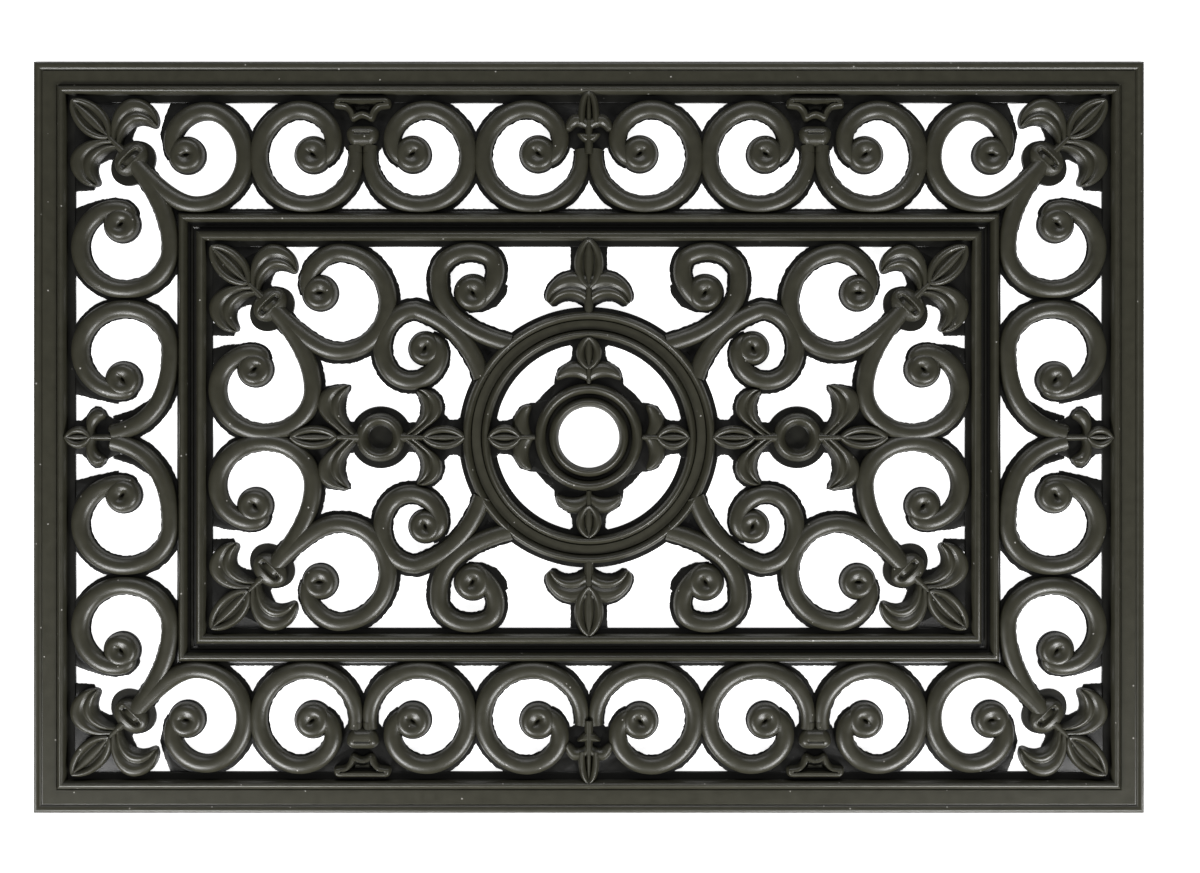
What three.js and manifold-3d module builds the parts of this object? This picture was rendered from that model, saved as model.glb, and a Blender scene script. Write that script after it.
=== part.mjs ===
// Openwork rubber doormat with moulded wrought-iron scrollwork.
// Millimetres, +Z up, origin under the middle of the mat on its flat underside.
// One quadrant (x > 0, y > 0) is modelled and set out four times by mirrored groups.
import * as THREE from 'three';
import { mergeVertices } from 'three/addons/utils/BufferGeometryUtils.js';
import Module from 'manifold-3d';

const wasm = await Module();
wasm.setup();

// Overall sizes
const matLength = 904;
const matWidth = 612;

// Heights above the floor
const webHeight = 4.5;
const barHeight = 11.5;
const beadHeight = 12;
const edgeBeadHeight = 9.5;
const flatHeight = 8;
const grooveHeight = 7;
const channelHeight = 4;

// Widths of the rails, and of the two bands between them as shares of the mat's size
const railWidth = 27;
const frameWidth = 22;
const sideBandShare = 0.0996;
const endBandShare = 0.1585;
const railLedge = 6.3;
const frameLedge = 2.8;
const fieldLedge = 3.8;

// Scroll bar: half widths of its crest, its foot and the thin flange on each side
const crestHalf = 3;
const footHalf = 5.3;
const outerFlange = 9.8;
const innerFlange = 7.8;
const bladeFlange = 1.8;

// Volute button at the end of each scroll
const voluteRadius = 15.7;
const sideVoluteRadius = 15;
const fieldVoluteRadius = 14.5;
const voluteCrest = 8.5;
const voluteHeight = 12;
const dimpleHeight = 9;

// Where the corner cells of the bands begin, as shares of the room inside the rails, and how
// far apart the scroll cells of the end bands lie
const cornerXShare = 0.6424;
const cornerYShare = 0.4032;
const pitchShare = 0.337;

// Boxes that the ornaments fill
const midFleurHalf = 21.5;
const midFleurDepth = 45.6;
const sideFleurHalf = 27.5;
const sideFleurDepth = 42.5;
const crownTopHalf = 24.6;
const crownTopDepth = 15.2;
const crownHalf = 20.3;

// Centre medallion: the big ring as a share of the field's half width, the rest of the ring
const ringShare = 0.647;
const boreShare = 0.2396;
const hubShare = 0.4396;
const hubFlangeShare = 0.51;
const ringInnerShare = 0.7487;
const ringFlangeShare = 1.0396;

// Clearance where a piece meets a curved or slanted neighbour
const seam = 0.3;

// Places that follow from the sizes above
const halfLength = matLength / 2;
const halfWidth = matWidth / 2;
const railInX = halfLength - railWidth;
const railInY = halfWidth - railWidth;
const sideBandWidth = matLength * sideBandShare;
const endBandWidth = matWidth * endBandShare;
const frameOutX = railInX - sideBandWidth;
const frameOutY = railInY - endBandWidth;
const fieldX = frameOutX - frameWidth;
const fieldY = frameOutY - frameWidth;
const cornerX = railInX * cornerXShare;
const cornerY = railInY * cornerYShare;
const scrollPitch = cornerX * pitchShare;
const ringRadius = fieldY * ringShare;
const ringInnerRadius = ringRadius * ringInnerShare;
const ringFlangeRadius = ringRadius * ringFlangeShare;
const hubRadius = ringRadius * hubShare;
const hubFlangeRadius = ringRadius * hubFlangeShare;
const boreRadius = ringRadius * boreShare;

const rubber = new THREE.MeshStandardMaterial({
  color: 0x37352f, roughness: 0.6, metalness: 0,
});

// A closed geometry as a solid that can be cut and joined
function solidOf(geometry) {
  const bare = geometry.clone();
  bare.deleteAttribute('normal');
  bare.deleteAttribute('uv');
  const merged = mergeVertices(bare, 1e-4);
  const vertProperties = new Float32Array(merged.attributes.position.array);
  const triVerts = new Uint32Array(merged.index.array);
  return new wasm.Manifold(new wasm.Mesh({ numProp: 3, vertProperties, triVerts }));
}

// A solid as a named mesh
function pieceOf(name, solid) {
  const { vertProperties, triVerts } = solid.getMesh();
  const geometry = new THREE.BufferGeometry();
  geometry.setAttribute('position', new THREE.BufferAttribute(new Float32Array(vertProperties), 3));
  geometry.setIndex(new THREE.BufferAttribute(new Uint32Array(triVerts), 1));
  geometry.computeVertexNormals();
  const piece = new THREE.Mesh(geometry, rubber);
  piece.name = name;
  return piece;
}

const join = (solids) => solids.reduce((sum, one) => sum.add(one));

// Upright box between two corners in plan
function boxSolid(x0, x1, y0, y1, height = beadHeight) {
  const box = new THREE.BoxGeometry(x1 - x0, y1 - y0, height);
  box.translate((x0 + x1) / 2, (y0 + y1) / 2, height / 2);
  return solidOf(box);
}

// Upright plate over a plan outline
function plateSolid(points, height = webHeight) {
  const outline = new THREE.Shape(points.map(([x, y]) => new THREE.Vector2(x, y)));
  return solidOf(new THREE.ExtrudeGeometry(outline, { depth: height, bevelEnabled: false }));
}

// Upright round plate
function discSolid(x, y, radius, height, sides) {
  const disc = new THREE.CylinderGeometry(radius, radius, height, sides);
  disc.rotateX(Math.PI / 2);
  disc.translate(x, y, height / 2);
  return solidOf(disc);
}

// Revolved solid about an upright axis
function turnedSolid(x, y, profile, sides) {
  const points = profile.map(([radius, z]) => new THREE.Vector2(radius, z));
  const turned = new THREE.LatheGeometry(points, sides);
  turned.rotateX(Math.PI / 2);
  turned.translate(x, y, 0);
  return solidOf(turned);
}

// Loft through sections that all have the same number of points
function loftSolid(sections) {
  const count = sections[0].length;
  const positions = sections.flat().flatMap((point) => [point.x, point.y, point.z]);
  const index = [];
  for (let s = 0; s < sections.length - 1; s += 1) {
    for (let i = 0; i < count; i += 1) {
      const j = (i + 1) % count;
      const a = s * count + i;
      const b = s * count + j;
      index.push(a, b, b + count, a, b + count, a + count);
    }
  }
  const last = (sections.length - 1) * count;
  for (let i = 1; i < count - 1; i += 1) {
    index.push(0, i + 1, i);
    index.push(last, last + i, last + i + 1);
  }
  const geometry = new THREE.BufferGeometry();
  geometry.setAttribute('position', new THREE.Float32BufferAttribute(positions, 3));
  geometry.setIndex(index);
  return solidOf(geometry);
}

// Unit vector square to a plan path at one of its points, to the left of travel
function leftOf(path, i) {
  const before = path[Math.max(i - 1, 0)];
  const after = path[Math.min(i + 1, path.length - 1)];
  return new THREE.Vector2(before.y - after.y, after.x - before.x).normalize();
}

// Sections along a plan path; profileAt gives [sideways, height] points from right to left
function sectionsAlong(path, profileAt) {
  return path.map((point, i) => {
    const left = leftOf(path, i);
    return profileAt(i).map(([side, z]) => new THREE.Vector3(
      point.x + left.x * side, point.y + left.y * side, z,
    ));
  });
}

// Frame of four mitred rails; the profile is [inset, height], from the outside in
function mitredSolid(halfX, halfY, profile) {
  const corners = [[1, 1], [-1, 1], [-1, -1], [1, -1], [1, 1]];
  const positions = [];
  const index = [];
  corners.forEach(([sx, sy]) => {
    profile.forEach(([inset, z]) => positions.push(sx * (halfX - inset), sy * (halfY - inset), z));
  });
  const count = profile.length;
  for (let c = 0; c < 4; c += 1) {
    for (let i = 0; i < count; i += 1) {
      const a = c * count + i;
      const b = c * count + (i + 1) % count;
      index.push(a, a + count, b + count, a, b + count, b);
    }
  }
  const geometry = new THREE.BufferGeometry();
  geometry.setAttribute('position', new THREE.Float32BufferAttribute(positions, 3));
  geometry.setIndex(index);
  return solidOf(geometry);
}

// Side of a line that is kept: what lies left of the way from p to q, less half a seam
function keepLeft(solid, [px, py], [qx, qy]) {
  const reach = matLength;
  const along = new THREE.Vector2(qx - px, qy - py).normalize();
  const block = new THREE.BoxGeometry(2 * reach, reach, 4 * beadHeight);
  block.translate(0, -reach / 2 + seam / 2, 0);
  block.rotateZ(Math.atan2(along.y, along.x));
  block.translate(px, py, 0);
  return solid.subtract(solidOf(block));
}

// Scroll bar section: a ridge with a flange on each side
function barProfile(right, left) {
  return [[-right, 0], [left, 0], [left, webHeight], [0, barHeight], [-right, webHeight]];
}

// Section of a ring, narrowed toward its volute: a ridge that falls steeply to the eye of the
// scroll and less so to a flange outside, which is left of travel where the turn is -1
function ringProfile(turn, closed, buttonRadius) {
  const inside = THREE.MathUtils.lerp(innerFlange, footHalf, closed);
  const outside = THREE.MathUtils.lerp(outerFlange, buttonRadius - voluteCrest, closed);
  const half = [[outside, webHeight], [outside, 0], [-inside, 0], [0, barHeight]];
  return turn < 0 ? half.reverse() : half.map(([side, z]) => [-side, z]);
}

const degree = Math.PI / 180;
const ringStep = 33;
const curlStep = 40;
const stemSteps = 3;
const buttonSides = 8;

// Plan path of a scroll: a stretch of ring that closes in on its volute
function scrollPath({ centre, radii, volute, from, turn, ring, curl }) {
  const path = [];
  const ringCount = Math.round(ring / ringStep);
  const curlCount = Math.round(curl / curlStep);
  for (let i = 0; i <= ringCount + curlCount; i += 1) {
    const inCurl = Math.max(i - ringCount, 0) / curlCount;
    const swept = i < ringCount ? (ring * i) / ringCount : ring + curl * inCurl;
    const angle = (from + turn * swept) * degree;
    const closed = THREE.MathUtils.smoothstep(inCurl, 0, 1);
    const rx = THREE.MathUtils.lerp(radii[0], voluteCrest, closed);
    const ry = THREE.MathUtils.lerp(radii[1], voluteCrest, closed);
    const cx = THREE.MathUtils.lerp(centre[0], volute[0], closed);
    const cy = THREE.MathUtils.lerp(centre[1], volute[1], closed);
    path.push(new THREE.Vector2(cx + rx * Math.cos(angle), cy + ry * Math.sin(angle)));
  }
  return { path, curlCount };
}

// Scroll: an optional curved stem, the ring, the curl and the volute button
function scrollSolid(scroll, buttonRadius) {
  const { path, curlCount } = scrollPath(scroll);
  const { turn, volute, stem } = scroll;
  if (stem) {
    const [start, bend] = stem.map(([x, y]) => new THREE.Vector2(x, y));
    const curve = new THREE.QuadraticBezierCurve(start, bend, path[0]);
    path.unshift(...curve.getPoints(stemSteps).slice(0, -1));
  }
  const curlStart = path.length - 1 - curlCount;
  const sections = sectionsAlong(path, (i) => {
    const closed = Math.max(i - curlStart, 0) / curlCount;
    return ringProfile(turn, closed, buttonRadius);
  });
  return join([
    loftSolid(sections.slice(0, curlStart + 1)),
    loftSolid(sections.slice(curlStart)),
    turnedSolid(volute[0], volute[1], [
      [0, 0],
      [buttonRadius, 0],
      [buttonRadius, webHeight],
      [voluteCrest, voluteHeight],
      [0, dimpleHeight],
    ], buttonSides),
  ]);
}

// Plain stem between two places
function stemSolid(points) {
  const path = points.map(([x, y]) => new THREE.Vector2(x, y));
  return loftSolid(sectionsAlong(path, () => barProfile(outerFlange, outerFlange)));
}

// Table of shares made into lengths
const scaled = (shares, forward, across = forward) => shares.map(
  ([u, v]) => [u * forward, v * across],
);

// Leaf or petal: a ridge along a path, with a half width at each point and a thin flange
function bladeSolid(points, halfWidths, height = barHeight) {
  const path = points.map(([x, y]) => new THREE.Vector2(x, y));
  return loftSolid(sectionsAlong(path, (i) => {
    const half = halfWidths[i] + bladeFlange;
    return [[-half, 0], [half, 0], [half, webHeight], [0, height], [-half, webHeight]];
  }));
}

// A plan point of an ornament, turned and set down at its place
function placer([x, y], heading) {
  const along = new THREE.Vector2(Math.cos(heading * degree), Math.sin(heading * degree));
  return ([forward, side]) => [
    x + along.x * forward - along.y * side,
    y + along.y * forward + along.x * side,
  ];
}

// Low web whose outline is given on one side of an ornament's axis
function webSolid(side, place) {
  const mirrored = side.map(([forward, across]) => [forward, -across]).reverse();
  return plateSolid([...side, ...mirrored].map(place));
}

// Fleur-de-lis: a leaf on its axis and a petal on each side, as [forward, sideways] places
function fleurSolid({ place, leaf, leafHalf, petal, petalHalves }) {
  const [base, tip] = leaf;
  const leafShares = [[0, 0.14], [0.28, 0.86], [0.66, 0.9], [1, 0.04]];
  const leafPath = leafShares.map(([share]) => place([base + (tip - base) * share, 0]));
  const leafHalves = leafShares.map(([, share]) => leafHalf * share);
  const mirrored = petal.map(([forward, side]) => [forward, -side]);
  return join([
    bladeSolid(leafPath, leafHalves),
    bladeSolid(petal.map(place), petalHalves),
    bladeSolid(mirrored.map(place), petalHalves),
  ]);
}

// Oval collar with a flange round it and a slot across its top
const collarSides = 8;
const collarTopShare = 0.6;
const slotDepth = 1.5;
const slotAlongShare = 0.18;
const slotAcrossShare = 0.85;
function collarSolid(place, acrossHalf, alongHalf, heading) {
  const profile = [[0, 0], [1, 0], [1, webHeight], [collarTopShare, beadHeight], [0, beadHeight]];
  const oval = new THREE.LatheGeometry(profile.map(([u, z]) => new THREE.Vector2(u, z)), collarSides);
  oval.rotateX(Math.PI / 2);
  oval.scale(alongHalf, acrossHalf, 1);
  const slot = new THREE.BoxGeometry(
    alongHalf * slotAlongShare, acrossHalf * slotAcrossShare, beadHeight,
  );
  slot.translate(0, 0, beadHeight * 1.5 - slotDepth);
  const [x, y] = place([0, 0]);
  for (const shape of [oval, slot]) {
    shape.rotateZ(heading * degree);
    shape.translate(x, y, 0);
  }
  return solidOf(oval).subtract(solidOf(slot));
}

// Rounded bead across a profile, between two feet
function beadPoints(start, width, footIn, crest, footOut) {
  return [
    [start, footIn], [start + width * 0.28, crest], [start + width * 0.72, crest],
    [start + width, footOut],
  ];
}

// Bead of a ring, which its many sides make round, with a single crest
function ringBeadPoints(from, width, footIn, footOut) {
  return [[from + width, footOut], [from + width / 2, barHeight], [from, footIn]];
}

// Outer border: edge bead, groove, flat band, groove and inner bead
const edgeBead = 6.9;
const grooveWidth = 1.3;
const innerBead = 6.7;
function borderSolid() {
  return mitredSolid(halfLength, halfWidth, [
    [0, 0],
    ...beadPoints(0, edgeBead, webHeight, edgeBeadHeight, grooveHeight),
    [edgeBead + grooveWidth, flatHeight],
    [railWidth - innerBead - grooveWidth, flatHeight],
    ...beadPoints(railWidth - innerBead, innerBead, grooveHeight, beadHeight, webHeight),
    [railWidth + railLedge, webHeight],
    [railWidth + railLedge, 0],
  ]);
}

// Inner frame: two beads with a channel between them
const frameBead = 7.8;
function frameSolid() {
  return mitredSolid(frameOutX, frameOutY, [
    [-frameLedge, 0],
    [-frameLedge, webHeight],
    ...beadPoints(0, frameBead, webHeight, barHeight, channelHeight),
    ...beadPoints(frameWidth - frameBead, frameBead, channelHeight, barHeight, webHeight),
    [frameWidth + fieldLedge, webHeight],
    [frameWidth + fieldLedge, 0],
  ]);
}

// Room beside the rails that their low ledges take up
const ledgeProfile = (from, to) => [[from, 0], [from, webHeight], [to, webHeight], [to, 0]];
const railLedgeSolid = mitredSolid(railInX, railInY, ledgeProfile(-crestHalf, railLedge));
const frameLedgeSolid = mitredSolid(
  frameOutX, frameOutY, ledgeProfile(-frameLedge, frameWidth + fieldLedge),
);
const clearOfLedges = (solid) => solid.subtract(railLedgeSolid).subtract(frameLedgeSolid);

// Big ring of the medallion: two beads with a groove between them
const ringSides = 32;
const ringBeadShare = 0.3077;
const ringLipShare = 0.0769;
function ringSolid() {
  const ringWidth = ringRadius - ringInnerRadius;
  const ringBead = ringWidth * ringBeadShare;
  const lipRadius = ringInnerRadius + ringWidth * ringLipShare;
  return turnedSolid(0, 0, [
    [ringInnerRadius, 0],
    [ringRadius, 0],
    ...ringBeadPoints(ringRadius - ringBead, ringBead, grooveHeight, webHeight),
    ...ringBeadPoints(lipRadius, ringBead, webHeight, grooveHeight),
    [ringInnerRadius, webHeight],
    [ringInnerRadius, 0],
  ], ringSides);
}

// Hub of the medallion round its open bore
const hubSides = 24;
const hubBeadShare = 0.396;
function hubSolid() {
  const hubBead = (hubRadius - boreRadius) * hubBeadShare;
  return turnedSolid(0, 0, [
    [boreRadius, 0],
    [hubRadius, 0],
    ...ringBeadPoints(hubRadius - hubBead, hubBead, grooveHeight, webHeight),
    ...ringBeadPoints(boreRadius, hubBead, webHeight, grooveHeight),
    [boreRadius, 0],
  ], hubSides);
}

// Scroll given by its ring centre, radii and the volute's place as a share of the radii
function scrollAt(centre, radii, voluteShare, rest) {
  const volute = [centre[0] + radii[0] * voluteShare[0], centre[1] + radii[1] * voluteShare[1]];
  return { centre, radii, volute, ...rest };
}

// Rings of the bands stand off the rail and touch the frame
const railGap = 4;
const sideRingShare = 0.316;
const endRingY = (endBandWidth - railGap) / 2 - footHalf;
const endCentreY = frameOutY + footHalf + endRingY;
const sideRingX = (sideBandWidth - railGap) / 2 - footHalf;
const sideCentreX = frameOutX + footHalf + sideRingX;
const sideRingY = cornerY * sideRingShare;

// Cells of the crown and of the fleur-de-lis under the rail
const midX = 2 * scrollPitch;
const crownCell = () => join([
  boxSolid(midX - crownTopHalf, midX + crownTopHalf, railInY - crownTopDepth, railInY),
  boxSolid(midX - crownHalf, midX + crownHalf, railInY - midFleurDepth, railInY),
]);
const midFleurCell = () => boxSolid(-midFleurHalf, midFleurHalf, railInY - midFleurDepth, railInY);

// Single scroll of an end band, between x0 and x1
function endScrollSolid(x0, x1, turn, voluteShare) {
  const rise = x0 === 0 ? 9 : 14;
  const scroll = scrollAt(
    [(x0 + x1) / 2, endCentreY],
    [(x1 - x0) / 2 - footHalf, endRingY],
    voluteShare,
    { turn, from: turn < 0 ? rise : 180 - rise, ring: 260, curl: 150 },
  );
  return scrollSolid(scroll, voluteRadius)
    .intersect(boxSolid(x0, x1, frameOutY, railInY))
    .subtract(crownCell())
    .subtract(midFleurCell());
}

// Pair of scrolls that leave one stem at a corner collar
const branchShare = 0.35;
function pairSolid(collar, first, second, firstButton, secondButton) {
  const fork = [second.centre[0] - second.radii[0], first.centre[1] - first.radii[1]];
  const branch = [0, 1].map((i) => THREE.MathUtils.lerp(collar[i], fork[i], branchShare));
  return join([
    scrollSolid({ ...first, stem: [collar, fork] }, firstButton),
    scrollSolid({ ...second, stem: [branch, fork] }, secondButton),
  ]);
}

// Corner ornaments: the corner, the box that each fills and how far its collar is set in, as
// shares of the two bands' widths or of the field
const outerBoxShares = [0.8385, 0.8216];
const outerInsetShares = [0.6275, 0.5825];
const fieldBoxShares = [0.2387, 0.4656];
const fieldInsetShares = [0.1661, 0.325];
const cornerRoom = (corner, [roomX, roomY], [boxU, boxV], [insetU, insetV]) => ({
  corner,
  box: [roomX * boxU, roomY * boxV],
  inset: [roomX * insetU, roomY * insetV],
});
const outerCorner = cornerRoom(
  [railInX, railInY], [sideBandWidth, endBandWidth], outerBoxShares, outerInsetShares,
);
const fieldCorner = cornerRoom(
  [fieldX, fieldY], [fieldX, fieldY], fieldBoxShares, fieldInsetShares,
);
const collarOf = ({ corner, inset }) => [corner[0] - inset[0], corner[1] - inset[1]];
function cornerBox({ corner: [x, y], box: [boxX, boxY] }, height = beadHeight) {
  return boxSolid(x - boxX, x, y - boxY, y, height);
}

// Two scrolls that fill the corner of the bands
const cornerCellShare = 0.306;
function cornerPairSolid() {
  const cellHalf = (railInX - cornerX) * cornerCellShare;
  const first = scrollAt(
    [cornerX + cellHalf, endCentreY],
    [cellHalf - footHalf, endRingY],
    [0.2, 0.03],
    { turn: -1, from: 270, ring: 150, curl: 130 },
  );
  const second = scrollAt(
    [sideCentreX, cornerY + footHalf + sideRingY],
    [sideRingX, sideRingY],
    [0.01, 0.617],
    { turn: 1, from: 180, ring: 227, curl: 90 },
  );
  const cell = boxSolid(cornerX, railInX, frameOutY, railInY)
    .add(boxSolid(frameOutX, railInX, cornerY, railInY))
    .subtract(cornerBox(outerCorner));
  return pairSolid(collarOf(outerCorner), first, second, voluteRadius, sideVoluteRadius)
    .intersect(cell);
}

// Scroll of a side band, with its stem rising from the fleur-de-lis at the middle
const sideBendX = 7;
const sideBendShare = 0.118;
function sideScrollSolid() {
  const scroll = scrollAt(
    [sideCentreX, cornerY - footHalf - sideRingY],
    [sideRingX, sideRingY],
    [0.05, -0.56],
    { turn: -1, from: 180, ring: 212, curl: 90 },
  );
  const root = [railInX - sideFleurDepth + footHalf, crestHalf];
  const bend = [frameOutX + sideBendX, cornerY * sideBendShare];
  return scrollSolid({ ...scroll, stem: [root, bend] }, sideVoluteRadius)
    .intersect(boxSolid(frameOutX, railInX, 0, cornerY))
    .subtract(boxSolid(railInX - sideFleurDepth, railInX, -sideFleurHalf, sideFleurHalf));
}

// Corner fleur-de-lis with its collar, on a web that fills the corner
const cornerLeafHalf = 9.8;
const cornerPetalHalf = 8.8;
const collarAcross = 16.5;
const collarAlong = 12.5;
const cornerPetalShares = [[0.26, 0.015], [0.47, 0.19], [0.41, 0.45], [0.08, 0.46]];
const cornerPetalWidthShares = [0.33, 0.9, 1, 0.18];
const cornerWebShares = [
  [0, 0], [0.87, 0], [0.87, 0.18], [0.63, 0.35], [0.53, 0.53], [0.35, 0.63], [0.18, 0.87], [0, 0.87],
];
const fieldWebShares = [
  [0, 0], [1, 0], [1, 0.26], [0.7, 0.35], [0.53, 0.53], [0.35, 0.7], [0.35, 1], [0, 1],
];
function cornerFleurSolid(room, ledge, webShares) {
  const { corner: [x, y], box: [boxX, boxY], inset: [insetX, insetY] } = room;
  const heading = Math.atan2(insetY, insetX) / degree;
  const place = placer(collarOf(room), heading);
  const reach = Math.hypot(insetX, insetY) - ledge;
  return join([
    plateSolid(webShares.map(([u, v]) => [x - u * boxX, y - v * boxY])),
    fleurSolid({
      place,
      leaf: [reach * 0.37, reach],
      leafHalf: cornerLeafHalf,
      petal: scaled(cornerPetalShares, reach),
      petalHalves: cornerPetalWidthShares.map((share) => share * cornerPetalHalf),
    }),
    stemSolid([place([-reach * 0.46, 0]), place([reach * 0.3, 0])]),
    collarSolid(place, collarAcross, collarAlong, heading),
  ]).intersect(cornerBox(room));
}

// Small pointed knot across a stem
const knotHalf = 3;
const knotHeight = 9;
const knotReach = 10;
const knotShares = [[0.5, -1], [1, 0], [0.5, 1]];
function knotSolid(place) {
  const across = scaled(knotShares, knotReach).map(place);
  return bladeSolid(across, [knotHalf / 2, knotHalf, knotHalf / 2], knotHeight);
}

// Small upright fleur-de-lis under the rail, on a full web
const midLeafHalf = 7.6;
const midPetalHalf = 4.2;
const midPetalShares = [[0.44, 0.035], [0.53, 0.18], [0.46, 0.32], [0.31, 0.38]];
const midPetalWidthShares = [0.57, 0.95, 1, 0.36];
function midFleurSolid() {
  const place = placer([0, railInY - midFleurDepth], 90);
  const reach = midFleurDepth - crestHalf / 2;
  return join([
    boxSolid(-midFleurHalf, midFleurHalf, railInY - midFleurDepth, railInY, webHeight),
    fleurSolid({
      place,
      leaf: [reach * 0.48, reach],
      leafHalf: midLeafHalf,
      petal: scaled(midPetalShares, reach),
      petalHalves: midPetalWidthShares.map((share) => share * midPetalHalf),
    }),
    bladeSolid(
      [place([0, 0]), place([reach * 0.3, 0]), place([reach * 0.55, 0])],
      [footHalf, midPetalHalf, crestHalf],
    ),
    knotSolid(place),
  ]).intersect(midFleurCell());
}

// Fleur-de-lis at the middle of a side band, pointing at the rail
const sideLeafHalf = 6.8;
const sidePetalHalf = 4.8;
const sideWebHalf = 14;
const sidePetalShares = [[0.41, 0.05], [0.54, 0.29], [0.44, 0.54], [0.22, 0.48]];
const sidePetalWidthShares = [0.5, 1, 1, 0.3];
function sideFleurSolid() {
  const place = placer([railInX - sideFleurDepth, 0], 0);
  const reach = sideFleurDepth - crestHalf / 2;
  return join([
    boxSolid(railInX - sideFleurDepth, railInX, -sideWebHalf, sideWebHalf, webHeight),
    fleurSolid({
      place,
      leaf: [reach * 0.46, reach],
      leafHalf: sideLeafHalf,
      petal: scaled(sidePetalShares, reach),
      petalHalves: sidePetalWidthShares.map((share) => share * sidePetalHalf),
    }),
    bladeSolid(
      [place([0, 0]), place([reach * 0.2, 0]), place([reach * 0.52, 0])],
      [footHalf + crestHalf, sidePetalHalf, crestHalf],
    ),
    knotSolid(place),
  ]).intersect(boxSolid(railInX - sideFleurDepth, railInX, -sideFleurHalf, sideFleurHalf));
}

// Crown bracket under the rail, and the collar that clasps two stems below it
const crownHeight = 9;
const crownCollarDrop = 34;
const crownCollarAcross = 14;
const crownCollarAlong = 9.4;
const crownBallRadius = 3.2;
const crownBallShare = 0.87;
const ballSides = 6;
const crownShares = [[0.96, 0.03], [0.96, 0.17], [0.69, 0.22], [0.45, 0.34], [0.37, 0.51]];
function crownSolid() {
  const bottomY = railInY - midFleurDepth;
  const collarY = railInY - crownCollarDrop;
  const right = crownShares.map(([u, v]) => [u * crownTopHalf, railInY - v * midFleurDepth]);
  const outline = [
    ...right.map(([x, y]) => [midX + x, y]),
    ...right.slice().reverse().map(([x, y]) => [midX - x, y]),
  ];
  const ballX = crownBallRadius + footHalf;
  return join([
    boxSolid(midX - crownTopHalf, midX + crownTopHalf, railInY - crownTopDepth, railInY, webHeight),
    boxSolid(midX - crownHalf, midX + crownHalf, bottomY, railInY, webHeight),
    plateSolid(outline, crownHeight),
    ...[-ballX, ballX].map((x) => discSolid(
      midX + x, railInY - midFleurDepth * crownBallShare, crownBallRadius, crownHeight, ballSides,
    )),
    collarSolid(placer([midX, collarY], 90), crownCollarAcross, crownCollarAlong, 90),
    ...[-footHalf, footHalf].map((x) => loftSolid(
      sectionsAlong([[midX + x, bottomY], [midX + x, collarY]].map(
        ([px, py]) => new THREE.Vector2(px, py),
      ), () => barProfile(footHalf, footHalf)),
    )),
  ]).intersect(crownCell());
}

// Plan points in the field, as shares of its half length and half width
const inField = ([u, v]) => [u * fieldX, v * fieldY];
const fieldScroll = (centreShare, radiiShare, voluteShare, rest) => scrollAt(
  inField(centreShare), inField(radiiShare), voluteShare, rest,
);

// Seams between slanted neighbours of the field
const pairSeam = [inField([0.56, 0.469]), inField([0.511, 0.672])];
const innerSeam = [inField([0.272, 0.433]), inField([0.394, 0.672])];
const forkWebShares = [[0.36, 0.605], [0.2, 0.48], [0.294, 0.325]];
const northHalfShare = 0.1342;
const northFleurHalf = fieldX * northHalfShare;

// Plan of the star with its two fleurs-de-lis, grown by a margin
const starTopShare = 0.23;
const starSideShare = 0.7013;
const starTipShare = 0.7732;
const starMiddleShare = 0.478;
const starCellTop = fieldY * starTopShare;
const starCellSide = fieldX * starSideShare;
const starCellTip = fieldX * starTipShare;
const starX = THREE.MathUtils.lerp(ringRadius, starCellTip, starMiddleShare);
function starCell(grow) {
  const tip = starCellTip + grow * Math.SQRT2;
  const side = starCellSide + grow;
  const top = starCellTop + grow;
  const shoulder = tip - side;
  return plateSolid([
    [0, -top], [side, -top], [side, -shoulder], [tip, 0], [side, shoulder], [side, top], [0, top],
  ], beadHeight);
}
const medallion = () => discSolid(0, 0, ringRadius + seam, beadHeight, ringSides);
const fieldFlange = () => discSolid(0, 0, ringFlangeRadius, webHeight, ringSides);

// Two scrolls that leave one stem at the collar of a field corner
const topWebShares = [0.2, 0.24, 0.38];
const sideWebShares = [0.3, 0.4, 0.2];
function fieldPairSolid() {
  const first = fieldScroll([0.649, 0.692], [0.128, 0.249], [0.4, 0.18], {
    turn: -1, from: 270, ring: 180, curl: 90,
  });
  const second = fieldScroll([0.843, 0.245], [0.1246, 0.219], [0.18, 0.511], {
    turn: 1, from: 180, ring: 205, curl: 110,
  });
  const [boxX, boxY] = fieldCorner.box;
  const fleurX = fieldX - boxX;
  const fleurY = fieldY - boxY;
  const [topReach, topStart, topEnd] = topWebShares;
  const [sideStart, sideEnd, sideReach] = sideWebShares;
  const whole = join([
    pairSolid(collarOf(fieldCorner), first, second, fieldVoluteRadius, fieldVoluteRadius),
    boxSolid(
      fleurX - boxX * topReach, fleurX, fieldY - boxY * topEnd, fieldY - boxY * topStart, webHeight,
    ),
    boxSolid(
      fieldX - boxX * sideEnd, fieldX - boxX * sideStart, fleurY - boxY * sideReach, fleurY, webHeight,
    ),
  ]).intersect(boxSolid(0, fieldX, 0, fieldY))
    .subtract(cornerBox(fieldCorner))
    .subtract(starCell(seam));
  return keepLeft(whole, pairSeam[1], pairSeam[0]);
}

// Scroll that leaves the big ring and curls beside the star
function lowerFieldSolid() {
  const scroll = fieldScroll([0.451, 0.458], [0.0895, 0.1906], [-0.293, -0.016], {
    turn: -1, from: 90, ring: 125, curl: 210,
  });
  const root = placer([0, 0], 29.3)([ringRadius, 0]);
  const whole = join([
    scrollSolid({ ...scroll, stem: [root, inField([0.323, 0.573])] }, fieldVoluteRadius),
    fieldFlange(),
    plateSolid(forkWebShares.map(inField)),
  ]).intersect(boxSolid(0, fieldX, starCellTop, fieldY)).subtract(medallion());
  return keepLeft(keepLeft(whole, innerSeam[1], innerSeam[0]), pairSeam[0], pairSeam[1]);
}

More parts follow.
